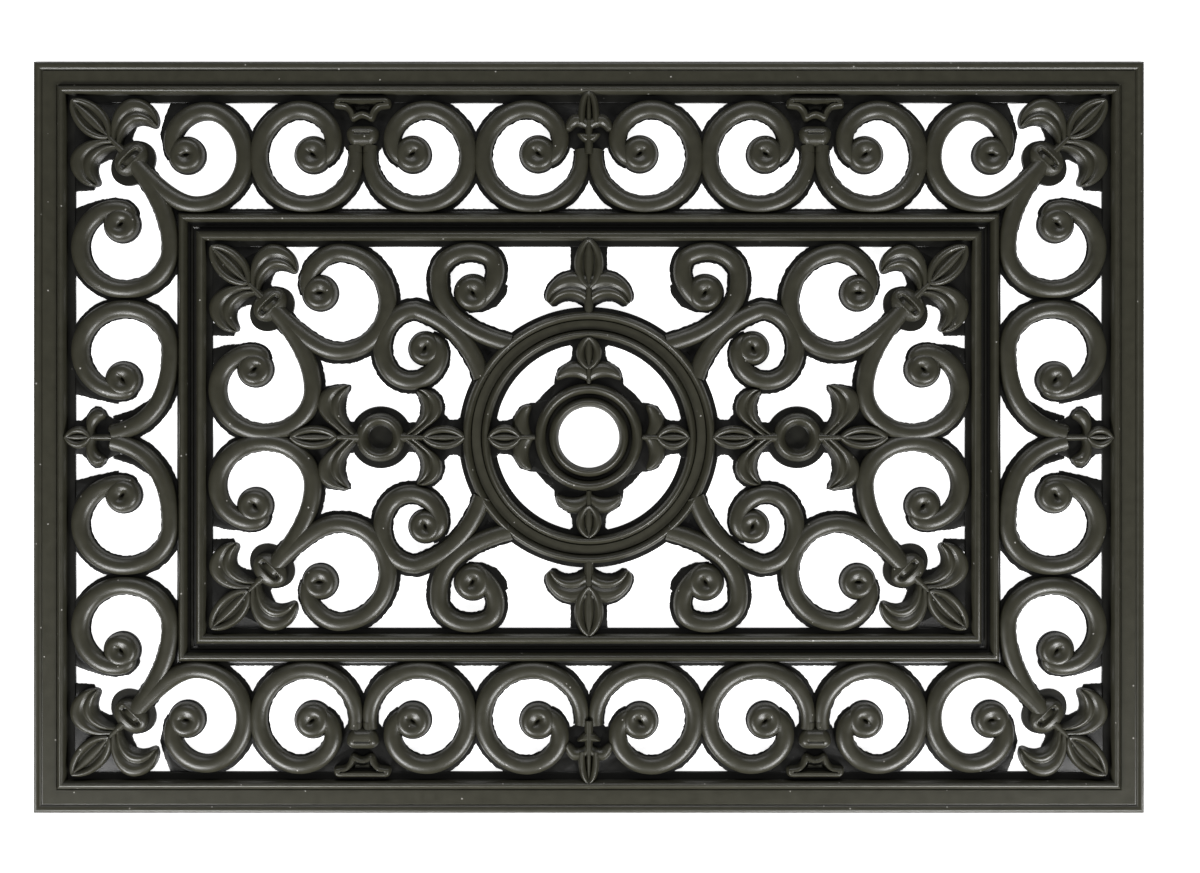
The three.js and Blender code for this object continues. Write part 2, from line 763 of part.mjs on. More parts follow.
// Scroll that leaves the big ring and curls under the frame
function upperFieldSolid() {
  const scroll = fieldScroll([0.315, 0.819], [0.0792, 0.128], [-0.08, -0.673], {
    turn: 1, from: 0, ring: 125, curl: 110,
  });
  const root = placer([0, 0], 50.5)([ringRadius - crestHalf, 0]);
  const whole = join([
    scrollSolid({ ...scroll, stem: [root, inField([0.398, 0.593])] }, fieldVoluteRadius),
    fieldFlange(),
    plateSolid(forkWebShares.map(inField)),
  ]).intersect(boxSolid(northFleurHalf, fieldX, 0, fieldY)).subtract(medallion());
  return keepLeft(keepLeft(whole, innerSeam[0], innerSeam[1]), pairSeam[0], pairSeam[1]);
}

// Fleur-de-lis between the big ring and the frame
const northLeafHalf = 13;
const northPetalHalf = 8;
const northWebHalf = 15.5;
const northPetalShares = [[0.06, 0.07], [0.31, 0.24], [0.33, 0.46], [0.1, 0.56]];
const northPetalWidthShares = [0.36, 0.85, 1, 0.3];
function northFleurSolid() {
  const place = placer([0, ringRadius], 90);
  const reach = fieldY - ringRadius;
  return join([
    fleurSolid({
      place,
      leaf: [reach * 0.27, reach - seam],
      leafHalf: northLeafHalf,
      petal: scaled(northPetalShares, reach),
      petalHalves: northPetalWidthShares.map((share) => share * northPetalHalf),
    }),
    bladeSolid(
      [place([-crestHalf, 0]), place([reach * 0.15, 0]), place([reach * 0.36, 0])],
      [footHalf, footHalf, crestHalf],
    ),
    fieldFlange(),
    boxSolid(-northWebHalf, northWebHalf, fieldY - reach * 0.5, fieldY, webHeight),
  ]).intersect(boxSolid(-northFleurHalf, northFleurHalf, starCellTop, fieldY))
    .subtract(medallion());
}

// Star: a small ring with a fleur-de-lis on each side of it
const starSides = 16;
const starFlangeShare = 0.685;
const starRingShare = 0.511;
const starRingInnerShare = 0.258;
const starFlange = starCellTop * starFlangeShare;
const starRingRadius = starCellTop * starRingShare;
const starRingInner = starCellTop * starRingInnerShare;
const starLeafHalf = 9.6;
const starPetalHalf = 8;
const starPetalShares = [[0.54, 0.11], [1.1, 0.38], [1.17, 0.76], [0.83, 0.98]];
const starPetalWidthShares = [0.39, 0.95, 1, 0.23];
const starWebShares = [[0.4, 0.1], [1.15, 0.52], [1.36, 0.52], [1.97, 0.36]];
const starForwardShare = 0.509;
function starSolid() {
  const forward = (starCellTip - starX) * starForwardShare;
  const web = scaled(starWebShares, forward, starCellTop);
  const fleurTo = (heading, reach) => {
    const place = placer([starX, 0], heading);
    return fleurSolid({
      place,
      leaf: [starRingRadius, reach],
      leafHalf: starLeafHalf,
      petal: scaled(starPetalShares, forward, starCellTop),
      petalHalves: starPetalWidthShares.map((share) => share * starPetalHalf),
    }).add(webSolid(web, place));
  };
  const ringMiddle = (starRingRadius + starRingInner) / 2;
  return join([
    turnedSolid(starX, 0, [
      [0, 0],
      [starFlange, 0],
      [starFlange, webHeight],
      [starRingRadius, webHeight],
      [ringMiddle, barHeight],
      [starRingInner, webHeight],
      [0, webHeight],
    ], starSides),
    fleurTo(0, starCellTip - starX),
    fleurTo(180, starX - ringRadius),
    fieldFlange(),
  ]).intersect(starCell(0)).subtract(medallion());
}

// Fleur-de-lis between the hub and the big ring
const hubLeafHalf = 9.8;
const hubPetalHalf = 5.5;
const hubPetalShares = [[-0.05, 0.03], [0.23, 0.25], [0.28, 0.54], [0.08, 0.77]];
const hubPetalWidthShares = [0.45, 0.9, 1, 0.29];
const hubWebShares = [[-0.17, 0.87], [0.02, 0.87], [0.39, 0.77], [0.59, 0.48], [1.08, 0.48]];
function hubFleurSolid() {
  const place = placer([0, hubRadius], 90);
  const tip = ringInnerRadius - seam;
  const reach = tip - hubRadius;
  return join([
    fleurSolid({
      place,
      leaf: [reach * 0.23, reach + seam],
      leafHalf: hubLeafHalf,
      petal: scaled(hubPetalShares, reach),
      petalHalves: hubPetalWidthShares.map((share) => share * hubPetalHalf),
    }),
    webSolid(scaled(hubWebShares, reach), place),
    discSolid(0, 0, hubFlangeRadius, webHeight, hubSides),
  ]).intersect(plateSolid([[0, seam], [tip, tip + seam], [-tip, tip + seam]], beadHeight))
    .intersect(discSolid(0, 0, tip, beadHeight, ringSides))
    .subtract(discSolid(0, 0, hubRadius + seam, beadHeight, hubSides));
}

const pieces = new THREE.Group();
pieces.name = 'openwork_doormat';

// Pieces that cross the middle lines of the mat
pieces.add(pieceOf('outer_border', borderSolid()));
pieces.add(pieceOf('inner_frame', frameSolid()));
pieces.add(pieceOf('medallion_ring', ringSolid()));
pieces.add(pieceOf('medallion_hub', hubSolid()));

const hubFleur = hubFleurSolid();
['north', 'west', 'south', 'east'].forEach((side, i) => {
  const piece = pieceOf(`hub_fleur_${side}`, hubFleur);
  piece.rotation.z = (i * Math.PI) / 2;
  pieces.add(piece);
});

const midFleur = clearOfLedges(midFleurSolid());
const northFleur = clearOfLedges(northFleurSolid());
for (const [side, flip] of [['north', 1], ['south', -1]]) {
  const half = new THREE.Group();
  half.scale.y = flip;
  half.add(pieceOf(`band_fleur_${side}`, midFleur));
  half.add(pieceOf(`field_fleur_${side}`, northFleur));
  pieces.add(half);
}

const sideFleur = clearOfLedges(sideFleurSolid());
const star = clearOfLedges(starSolid());
for (const [side, flip] of [['east', 1], ['west', -1]]) {
  const half = new THREE.Group();
  half.scale.x = flip;
  half.add(pieceOf(`band_fleur_${side}`, sideFleur));
  half.add(pieceOf(`star_${side}`, star));
  pieces.add(half);
}

// Pieces of one quadrant, set out in all four
const quadrantSolids = {
  end_scroll_inner: endScrollSolid(0, scrollPitch, 1, [-0.113, 0.058]),
  end_scroll_middle: endScrollSolid(scrollPitch, 2 * scrollPitch, -1, [0.184, 0.049]),
  end_scroll_outer: endScrollSolid(2 * scrollPitch, cornerX, 1, [-0.115, 0.04]),
  crown_collar: crownSolid(),
  side_scroll: sideScrollSolid(),
  corner_scrolls: cornerPairSolid(),
  corner_fleur: cornerFleurSolid(outerCorner, railLedge, cornerWebShares),
  field_corner_fleur: cornerFleurSolid(fieldCorner, fieldLedge, fieldWebShares),
  field_corner_scrolls: fieldPairSolid(),
  field_scroll_lower: lowerFieldSolid(),
  field_scroll_upper: upperFieldSolid(),
};
const quadrants = { ne: [1, 1], nw: [-1, 1], sw: [-1, -1], se: [1, -1] };
for (const [place, [flipX, flipY]] of Object.entries(quadrants)) {
  const quadrant = new THREE.Group();
  quadrant.scale.set(flipX, flipY, 1);
  for (const [name, solid] of Object.entries(quadrantSolids)) {
    quadrant.add(pieceOf(`${name}_${place}`, clearOfLedges(solid)));
  }
  pieces.add(quadrant);
}

export default pieces;
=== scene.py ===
"""Looks of a moulded rubber doormat: a beaded border round openwork scrolls.

Metres throughout, with +X along the mat, +Y across it and +Z up out of the floor. Tables,
profiles and the numbers that an ornament is called with are in millimetres.
One quadrant (x > 0, y > 0) is shaped, and its mesh is mirrored into the other three.
"""
import math

import bmesh
import bpy
import numpy as np
from bpy.props import FloatProperty, FloatVectorProperty, IntProperty, PointerProperty
from bpy.types import Operator, Panel, PropertyGroup
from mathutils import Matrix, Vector


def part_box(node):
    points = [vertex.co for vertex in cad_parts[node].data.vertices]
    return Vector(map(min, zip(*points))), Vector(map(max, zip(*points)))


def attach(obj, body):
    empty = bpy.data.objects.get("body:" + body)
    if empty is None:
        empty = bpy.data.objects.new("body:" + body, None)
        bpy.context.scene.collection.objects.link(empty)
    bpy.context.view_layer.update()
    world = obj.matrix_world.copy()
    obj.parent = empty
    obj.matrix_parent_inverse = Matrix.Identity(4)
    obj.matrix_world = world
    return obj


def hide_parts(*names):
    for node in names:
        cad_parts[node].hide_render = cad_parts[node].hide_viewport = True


bl_info = {
    "name": "Openwork Doormat",
    "version": (1, 0, 0),
    "blender": (4, 5, 0),
    "location": "View3D > Sidebar > Doormat",
    "description": "Shapes and finishes a moulded rubber doormat round its fixed frame",
    "category": "Add Mesh",
}

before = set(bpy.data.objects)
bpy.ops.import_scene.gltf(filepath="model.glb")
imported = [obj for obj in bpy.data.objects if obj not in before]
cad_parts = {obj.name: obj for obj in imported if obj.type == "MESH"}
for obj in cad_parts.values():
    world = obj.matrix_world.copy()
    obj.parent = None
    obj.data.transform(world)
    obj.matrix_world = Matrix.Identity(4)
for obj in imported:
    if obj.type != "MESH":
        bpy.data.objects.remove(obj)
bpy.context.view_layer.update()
MM = 0.001
TINY = 1e-6

# Places and sizes that the frame gives
half_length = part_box("outer_border")[1].x
half_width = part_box("outer_border")[1].y
ring_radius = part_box("medallion_ring")[1].x
hub_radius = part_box("medallion_hub")[1].x

# Mirror signs of the places that a member is set out to
QUADRANTS = {"ne": (1, 1), "nw": (-1, 1), "sw": (-1, -1), "se": (1, -1)}
ENDS = {"north": (1, 1), "south": (1, -1)}
SIDES = {"east": (1, 1), "west": (-1, 1)}


class DoormatSizes(PropertyGroup):
    """Sizes of the mat's members"""
    rail_width: FloatProperty(
        name="Rail Width", description="Width of the beaded border rail",
        default=27 * MM, unit="LENGTH")
    side_band: FloatProperty(
        name="Side Band", description="Room between the side rail and the inner frame",
        default=91.5 * MM, unit="LENGTH")
    end_band: FloatProperty(
        name="End Band", description="Room between the long rail and the inner frame",
        default=97 * MM, unit="LENGTH")
    frame_width: FloatProperty(
        name="Frame Width", description="Width of the inner frame",
        default=22 * MM, unit="LENGTH")
    bead_top: FloatProperty(
        name="Bead Top", description="Height of the highest beads",
        default=12 * MM, unit="LENGTH")
    bar_top: FloatProperty(
        name="Bar Top", description="Height of the scroll bars",
        default=11.5 * MM, unit="LENGTH")
    bar_half: FloatProperty(
        name="Bar Half Width", description="Half the width of a scroll bar",
        default=7.4 * MM, unit="LENGTH")
    web_top: FloatProperty(
        name="Web Top", description="Height of the low web between the members",
        default=4.5 * MM, unit="LENGTH")
    volute_crest: FloatProperty(
        name="Volute Crest", description="Radius of the crest round a volute's dimple",
        default=8.5 * MM, unit="LENGTH")
    path_steps: IntProperty(
        name="Path Steps", description="Sections along each scroll",
        default=96, min=24)


class DoormatFinish(PropertyGroup):
    """Colours and textures of the rubber and of the stage"""
    rubber: FloatVectorProperty(
        name="Rubber", description="Base colour of the rubber",
        subtype="COLOR", size=3, default=(0.0262, 0.0252, 0.0162), min=0, max=1)
    dust: FloatVectorProperty(
        name="Dust", description="Colour of the dust in the grain",
        subtype="COLOR", size=3, default=(0.30, 0.29, 0.27), min=0, max=1)
    roughness: FloatProperty(
        name="Roughness", description="Roughness of the clean rubber",
        subtype="FACTOR", default=0.36, min=0, max=1)
    floor: FloatVectorProperty(
        name="Floor", description="Colour of the floor",
        subtype="COLOR", size=3, default=(0.97, 0.97, 0.97), min=0, max=1)


# Places worked out from the sizes

class Layout:
    """Where the mat's members lie in the first quadrant"""

    rail_ledge = 6.3 * MM
    frame_ledge = 2.2 * MM
    long_ledge = 4.4 * MM
    field_ledge = 4.6 * MM
    rail_inset = 7 * MM
    ring_inset = 5.6 * MM
    side_inset = 7.8 * MM
    pitch = 92 * MM
    corner_span_x = 150.6 * MM
    corner_span_y = 166.5 * MM
    rail_gap = 4 * MM
    side_ring_share = 0.305
    outer_collar_inset = 52.4 * MM
    field_collar_inset = 52 * MM
    star_x = 169.7 * MM

    def __init__(self):
        sizes = bpy.context.scene.doormat_sizes
        self.rail_in = (half_length - sizes.rail_width, half_width - sizes.rail_width)
        self.frame_out = (self.rail_in[0] - sizes.side_band, self.rail_in[1] - sizes.end_band)
        self.field = (self.frame_out[0] - sizes.frame_width, self.frame_out[1] - sizes.frame_width)
        self.corner = (self.rail_in[0] - self.corner_span_x, self.rail_in[1] - self.corner_span_y)
        self.end_ring = (sizes.end_band - self.rail_gap) / 2 - self.rail_inset
        self.end_y = self.frame_out[1] + self.rail_inset + self.end_ring
        self.side_ring = (sizes.side_band - self.rail_gap) / 2 - self.rail_inset
        self.side_x = self.frame_out[0] + self.rail_inset + self.side_ring
        self.side_ring_y = self.corner[1] * self.side_ring_share

    def in_field(self, share):
        """A plan place given as shares of the field's half length and half width"""
        return np.array(share) * np.array(self.field)


def degrees(angle):
    """Radians of an angle given in degrees"""
    return angle * math.pi / 180


def millimetres(points):
    """Plan places, or a profile, given in millimetres"""
    return [(u * MM, v * MM) for u, v in points]


def around(steps):
    """Angles of evenly spaced places round a circle"""
    return np.linspace(0, 2 * math.pi, steps, endpoint=False)


# Heights of low members as shares of the web's height. Members that overlap have different
# shares, so that no two tops coincide.
WEB_SHARE = 0.72
FLANGE_SHARE = 0.7
RING_FLANGE_SHARE = 0.64
HUB_CORNER_SHARE = 0.58
FILLER_SHARE = 0.55
RING_FILLER_SHARE = 0.5


# Shapes: every closed body is a pair of point and face arrays

class Shape:
    """One member of the mat, gathered from closed bodies; put lays out an ornament's places"""

    def __init__(self, put=None):
        self.sizes = bpy.context.scene.doormat_sizes
        self.put = put
        self.points = []
        self.faces = []
        self.count = 0

    def add(self, body):
        points, faces = body
        points = np.asarray(points, float)
        if signed_volume(points, faces) < 0:
            faces = [tuple(reversed(face)) for face in faces]
        self.points.append(points)
        self.faces.extend(tuple(i + self.count for i in face) for face in faces)
        self.count += len(points)
        return self

    def web(self, outline, share=WEB_SHARE):
        """Adds a low web over a plan outline"""
        self.add(plate(outline, self.sizes.web_top * share))

    def heights(self, bar_share, web_share):
        """Top and foot of a raised body, as shares of the bar's and of the web's height"""
        return self.sizes.bar_top * bar_share, self.sizes.web_top * web_share

    def mesh(self, name, flip=(1, 1), quarter_turns=0):
        """Plain mesh, mirrored by flip and turned about the middle of the mat"""
        points = np.concatenate(self.points) * (flip[0], flip[1], 1)
        for _ in range(quarter_turns):
            points = points[:, (1, 0, 2)] * (-1, 1, 1)
        faces = self.faces
        if flip[0] * flip[1] < 0:
            faces = [tuple(reversed(face)) for face in faces]
        mesh = bpy.data.meshes.new(name)
        mesh.from_pydata(points.tolist(), [], faces)
        mesh.update()
        return mesh


def new_object(name, data):
    """Object in the scene, at the origin"""
    made = bpy.data.objects.new(name, data)
    bpy.context.scene.collection.objects.link(made)
    return made


def signed_volume(points, faces):
    """Volume inside a closed body, negative where its faces point inwards"""
    total = 0.0
    for face in faces:
        first = points[face[0]]
        for i in range(1, len(face) - 1):
            total += np.dot(first, np.cross(points[face[i]], points[face[i + 1]]))
    return total


def loft(rows, closed=False):
    """Closed body through rows of points; closed joins the last row to the first"""
    rows = np.asarray(rows, float)
    steps, count = rows.shape[:2]
    faces = []
    for i in range(steps if closed else steps - 1):
        a = i * count
        b = ((i + 1) % steps) * count
        for j in range(count):
            k = (j + 1) % count
            faces.append((a + j, a + k, b + k, b + j))
    if not closed:
        faces.append(tuple(reversed(range(count))))
        faces.append(tuple(range((steps - 1) * count, steps * count)))
    return rows.reshape(-1, 3), faces


def standing(plan, heights):
    """Row of points over a line of plan places, closed along the floor"""
    row = [(x, y, z) for (x, y), z in zip(plan, heights)]
    return [*row, (*plan[-1], 0), (*plan[0], 0)]


def ring_body(profile, steps):
    """Closed ring with the given radius and height profile"""
    rows = []
    for angle in around(steps):
        rows.append([(radius * math.cos(angle), radius * math.sin(angle), z)
                     for radius, z in millimetres(profile)])
    return loft(rows, closed=True)


def disc_faces(rings, steps):
    """Faces round a middle point, over rings and a floor ring, to a last point below"""
    faces = [(0, 1 + j, 1 + (j + 1) % steps) for j in range(steps)]
    for i in range(rings):
        a = 1 + i * steps
        for j in range(steps):
            k = (j + 1) % steps
            faces.append((a + j, a + steps + j, a + steps + k, a + k))
    a = 1 + rings * steps
    faces.extend((a + steps, a + (j + 1) % steps, a + j) for j in range(steps))
    return faces


def turned(centre, profile, steps):
    """Body turned about an upright axis; the profile runs from the axis out and back to it"""
    (_, top), *inner, (_, low) = millimetres(profile)
    points = [(0, 0, top), (0, 0, low)]
    for angle in around(steps):
        for radius, z in inner:
            points.append((radius * math.cos(angle), radius * math.sin(angle), z))
    count = len(inner)
    faces = []
    for i in range(steps):
        a = 2 + i * count
        b = 2 + ((i + 1) % steps) * count
        faces.append((0, b, a))
        faces.append((1, a + count - 1, b + count - 1))
        faces.extend((a + j, b + j, b + j + 1, a + j + 1) for j in range(count - 1))
    return placed(np.array(points), centre, 0), faces


def placed(points, centre, heading):
    """Points turned by a heading in degrees and moved to a plan place"""
    c, s = math.cos(degrees(heading)), math.sin(degrees(heading))
    x = points[:, 0] * c - points[:, 1] * s + centre[0]
    y = points[:, 0] * s + points[:, 1] * c + centre[1]
    return np.stack([x, y, points[:, 2]], axis=1)


def placer(place, heading):
    """Layout of plan places that run forward along a heading and out to its left"""
    c, s = math.cos(degrees(heading)), math.sin(degrees(heading))

    def put(points):
        points = np.atleast_2d(np.asarray(points, float))
        x = place[0] + points[:, 0] * c - points[:, 1] * s
        y = place[1] + points[:, 0] * s + points[:, 1] * c
        return np.stack([x, y], axis=1)
    return put


def lefts(path):
    """Unit vectors square to a plan path, to the left of travel"""
    along = np.gradient(np.asarray(path, float), axis=0)
    along /= np.linalg.norm(along, axis=1, keepdims=True)
    return np.stack([-along[:, 1], along[:, 0]], axis=1)


def smooth_path(points, steps, closed=False, fineness=16):
    """Curve through given plan points, in even steps of its chord length"""
    points = np.asarray(points, float)
    if closed:
        steps += 1
        extended = np.vstack([points[-1], points, points[0], points[1]])
    else:
        extended = np.vstack([2 * points[0] - points[1], points, 2 * points[-1] - points[-2]])
    fine = []
    for i in range(1, len(extended) - 2):
        p0, p1, p2, p3 = extended[i - 1:i + 3]
        for t in np.linspace(0, 1, fineness, endpoint=False):
            fine.append(0.5 * (2 * p1 + (p2 - p0) * t + (2 * p0 - 5 * p1 + 4 * p2 - p3) * t ** 2
                               + (3 * p1 - p0 - 3 * p2 + p3) * t ** 3))
    fine.append(extended[-2])
    fine = np.array(fine)
    lengths = np.concatenate([[0], np.cumsum(np.linalg.norm(np.diff(fine, axis=0), axis=1))])
    even = np.linspace(0, lengths[-1], steps)
    path = np.stack([np.interp(even, lengths, fine[:, k]) for k in (0, 1)], axis=1)
    return path[:-1] if closed else path


def polar_body(centre, reach_x, reach_y, height_at, heading=0, rings=26, steps=56):
    """Oval body over a polar grid; height_at takes plan places about the centre"""
    shares = np.linspace(0, 1, rings + 1)[1:]
    x = np.outer(shares * reach_x, np.cos(around(steps)))
    y = np.outer(shares * reach_y, np.sin(around(steps)))
    points = [(0, 0, height_at(np.zeros(1), np.zeros(1))[0])]
    points.extend(zip(x.ravel(), y.ravel(), height_at(x, y).ravel()))
    points.extend(zip(x[-1], y[-1], np.zeros(steps)))
    points.append((0, 0, 0))
    return placed(np.array(points), centre, heading), disc_faces(rings, steps)


def mound(outline, middle, height_at, rings):
    """Body over an outline seen whole from its middle; height_at takes the way in and the plan"""
    outline = np.asarray(outline, float)
    closer_to_edge = 1.5
    shares = 1 - (1 - np.linspace(0, 1, rings + 1)[1:]) ** closer_to_edge
    plan = (middle + shares[:, None, None] * (outline - middle)).reshape(-1, 2)
    plan = np.vstack([np.asarray(middle, float)[None], plan])
    heights = height_at(edge_distance(plan, outline), plan)
    points = [(x, y, z) for (x, y), z in zip(plan, heights)]
    points.extend((x, y, 0) for x, y in outline)
    points.append((*middle, 0))
    return np.array(points), disc_faces(rings, len(outline))


def edge_distance(points, outline):
    """Distance of plan points from the nearest side of an outline"""
    nearest = np.full(len(points), np.inf)
    for start, end in zip(outline, np.roll(outline, -1, axis=0)):
        along = end - start
        share = np.clip((points - start) @ along / max(along @ along, TINY * TINY), 0, 1)
        gap = points - start - share[:, None] * along
        nearest = np.minimum(nearest, np.hypot(gap[:, 0], gap[:, 1]))
    return nearest


def shoulder(way_in, radius):
    """Share of the height a round shoulder has reached at a distance in from the edge"""
    return np.sqrt(1 - (1 - np.clip(way_in / radius, 0, 1)) ** 2)


def eased(share):
    """A share that starts and ends gently"""
    return share * share * (3 - 2 * share)


def blade(path, halves, height_at, top, foot, across_steps=33):
    """Leaf or stem: height_at gives shares of the height from places across and a half width"""
    side = lefts(path)
    shares = np.linspace(-1, 1, across_steps)
    rows = []
    for i, (point, half) in enumerate(zip(path, halves)):
        across = shares * half
        plan = point + side[i] * across[:, None]
        rows.append(standing(plan, foot + (top - foot) * height_at(across, half)))
    return loft(rows)


def rounded(across, half):
    """Half-round blade, which is lower where it is narrow"""
    fullness, least, full_half = 2.4, 0.45, 5 * MM
    share = np.clip(np.abs(across) / max(half, TINY), 0, 1)
    return (1 - share ** fullness) ** 0.5 * min(1.0, least + half / full_half)


def leaf_height(across, half):
    """Leaf: a round rim that closes round a sunk lens, with a round rib down the lens"""
    rim_width, lens_floor, rib_width, rib_top = 3.1 * MM, 0.12, 0.4, 0.84
    rim = float(np.clip(half, TINY, rim_width))
    edge = np.clip(half - np.abs(across), 0, None)
    dome = np.sqrt(np.clip(1 - (edge / rim - 1) ** 2, 0, 1))
    height = np.where(edge > rim, lens_floor + (1 - lens_floor) * dome, dome)
    rib_half = rib_width * max(half - rim, TINY)
    rib = rib_top * np.sqrt(np.clip(1 - (across / rib_half) ** 2, 0, 1))
    return np.maximum(height, rib)


# Relief across a petal's two ridges, from its outer edge to the foot of the inner ridge
PETAL_SHARES = (0, 0.03, 0.1, 0.2, 0.34, 0.46, 0.54, 0.59, 0.63, 0.7, 0.78, 0.86, 0.94, 1)
PETAL_HEIGHTS = (0, 0.42, 0.76, 0.95, 1, 0.93, 0.78, 0.66, 0.7, 0.88, 0.97, 0.95, 0.8, 0.5)

# Relief across a petal that has one round ridge
ROUND_SHARES = (0, 0.05, 0.16, 0.34, 0.5, 0.66, 0.82, 0.93, 1)
ROUND_HEIGHTS = (0, 0.36, 0.7, 0.95, 1, 0.93, 0.74, 0.46, 0.1)


def petal(outer, inner, top, foot, wall, across_steps=40):
    """Petal between two edges; wall is the sloping share beside the inner one"""
    shares = np.linspace(0, 1, across_steps)
    if wall:
        relief = np.interp(shares / (1 - wall), PETAL_SHARES, PETAL_HEIGHTS)
        slope = np.clip((1 - shares) / wall, 0, 1)
        relief = np.minimum(relief, PETAL_HEIGHTS[-1] * slope + (slope >= 1))
    else:
        relief = np.interp(shares, ROUND_SHARES, ROUND_HEIGHTS)
    least, full_width = 0.35, 9 * MM
    rows = []
    for a, b in zip(outer, inner):
        lift = min(1.0, least + np.linalg.norm(b - a) / full_width)
        rows.append(standing(a + (b - a) * shares[:, None], foot + (top - foot) * relief * lift))
    return loft(rows)


def plate(outline, top, edge=0.25 * MM, flash=0.35 * MM):
    """Low web over a plan outline, with its upper edge rounded"""
    bm = bmesh.new()
    face = bm.faces.new([bm.verts.new((x, y, 0)) for x, y in ragged(outline, flash)])
    raised = bmesh.ops.extrude_face_region(bm, geom=[face])["geom"]
    for item in raised:
        if isinstance(item, bmesh.types.BMVert):
            item.co.z = top
    rim = [item for item in raised if isinstance(item, bmesh.types.BMEdge)]
    bmesh.ops.bevel(bm, geom=rim, offset=edge, segments=2, profile=0.5, affect="EDGES")
    bm.verts.index_update()
    points = np.array([vert.co for vert in bm.verts])
    faces = [tuple(vert.index for vert in f.verts) for f in bm.faces]
    bm.free()
    return points, faces


# Sizes in millimetres and phases of the waves that make a moulding's edge uneven
FLASH_WAVES = ((2.1, 0.7), (4.3, 2.3), (9.7, 4.1))


def ragged(outline, depth, step=0.9 * MM):
    """Outline with the uneven flash of a moulding, in short sides"""
    outline = np.asarray(outline, float)
    fine = []
    for start, end in zip(outline, np.roll(outline, -1, axis=0)):
        count = max(1, int(np.linalg.norm(end - start) / step))
        fine.extend(start + (end - start) * i / count for i in range(count))
    fine = np.array(fine)
    wave = np.zeros((len(fine), 2))
    lean_x, lean_y = 1.3, 1.7
    for size, turn in FLASH_WAVES:
        x, y = (fine * (2 * math.pi / (size * MM)) + turn).T
        wave += np.stack([np.sin(y + lean_x * x), np.sin(x - lean_y * y)], axis=1)
    return fine + wave * depth / len(FLASH_WAVES)


# Node trees

def wire(tree, node, inputs):
    """Links a node's inputs, given by name or number, to sockets or sets them to values"""
    for label, value in inputs.items():
        if isinstance(value, bpy.types.NodeSocket):
            tree.links.new(value, node.inputs[label])
        else:
            node.inputs[label].default_value = value
    return node


def add_node(tree, kind, inputs=None, **settings):
    """Node with its settings made first, since they decide which inputs it has"""
    node = tree.nodes.new(kind)
    for label, value in settings.items():
        setattr(node, label, value)
    return wire(tree, node, inputs or {})


def maths(tree, operation, *values):
    """Result of a math node on sockets and numbers"""
    return add_node(tree, "ShaderNodeMath", dict(enumerate(values)), operation=operation).outputs[0]


def vector_maths(tree, operation, inputs):
    """Result of a vector math node"""
    return add_node(tree, "ShaderNodeVectorMath", inputs, operation=operation).outputs[0]


def new_tree(name, kind, inputs, outputs):
    """Node group with named sockets, each given as its label, kind and default"""
    tree = bpy.data.node_groups.new(name, kind)
    for in_out, sockets in (("INPUT", inputs), ("OUTPUT", outputs)):
        for label, sort, value in sockets:
            socket = tree.interface.new_socket(
                name=label, in_out=in_out, socket_type="NodeSocket" + sort)
            if value is not None:
                socket.default_value = value
    return tree


BAR_INPUTS = (
    ("Path", "Geometry", None),
    ("Half Width", "Float", 6.6 * MM),
    ("Side Shift", "Float", 0.0),
    ("Wall", "Float", 4 * MM),
    ("Crest", "Float", 11.5 * MM),
    ("Sides", "Int", 28),
    ("Flash", "Float", 0.0),
    ("Rubber", "Material", None),
)


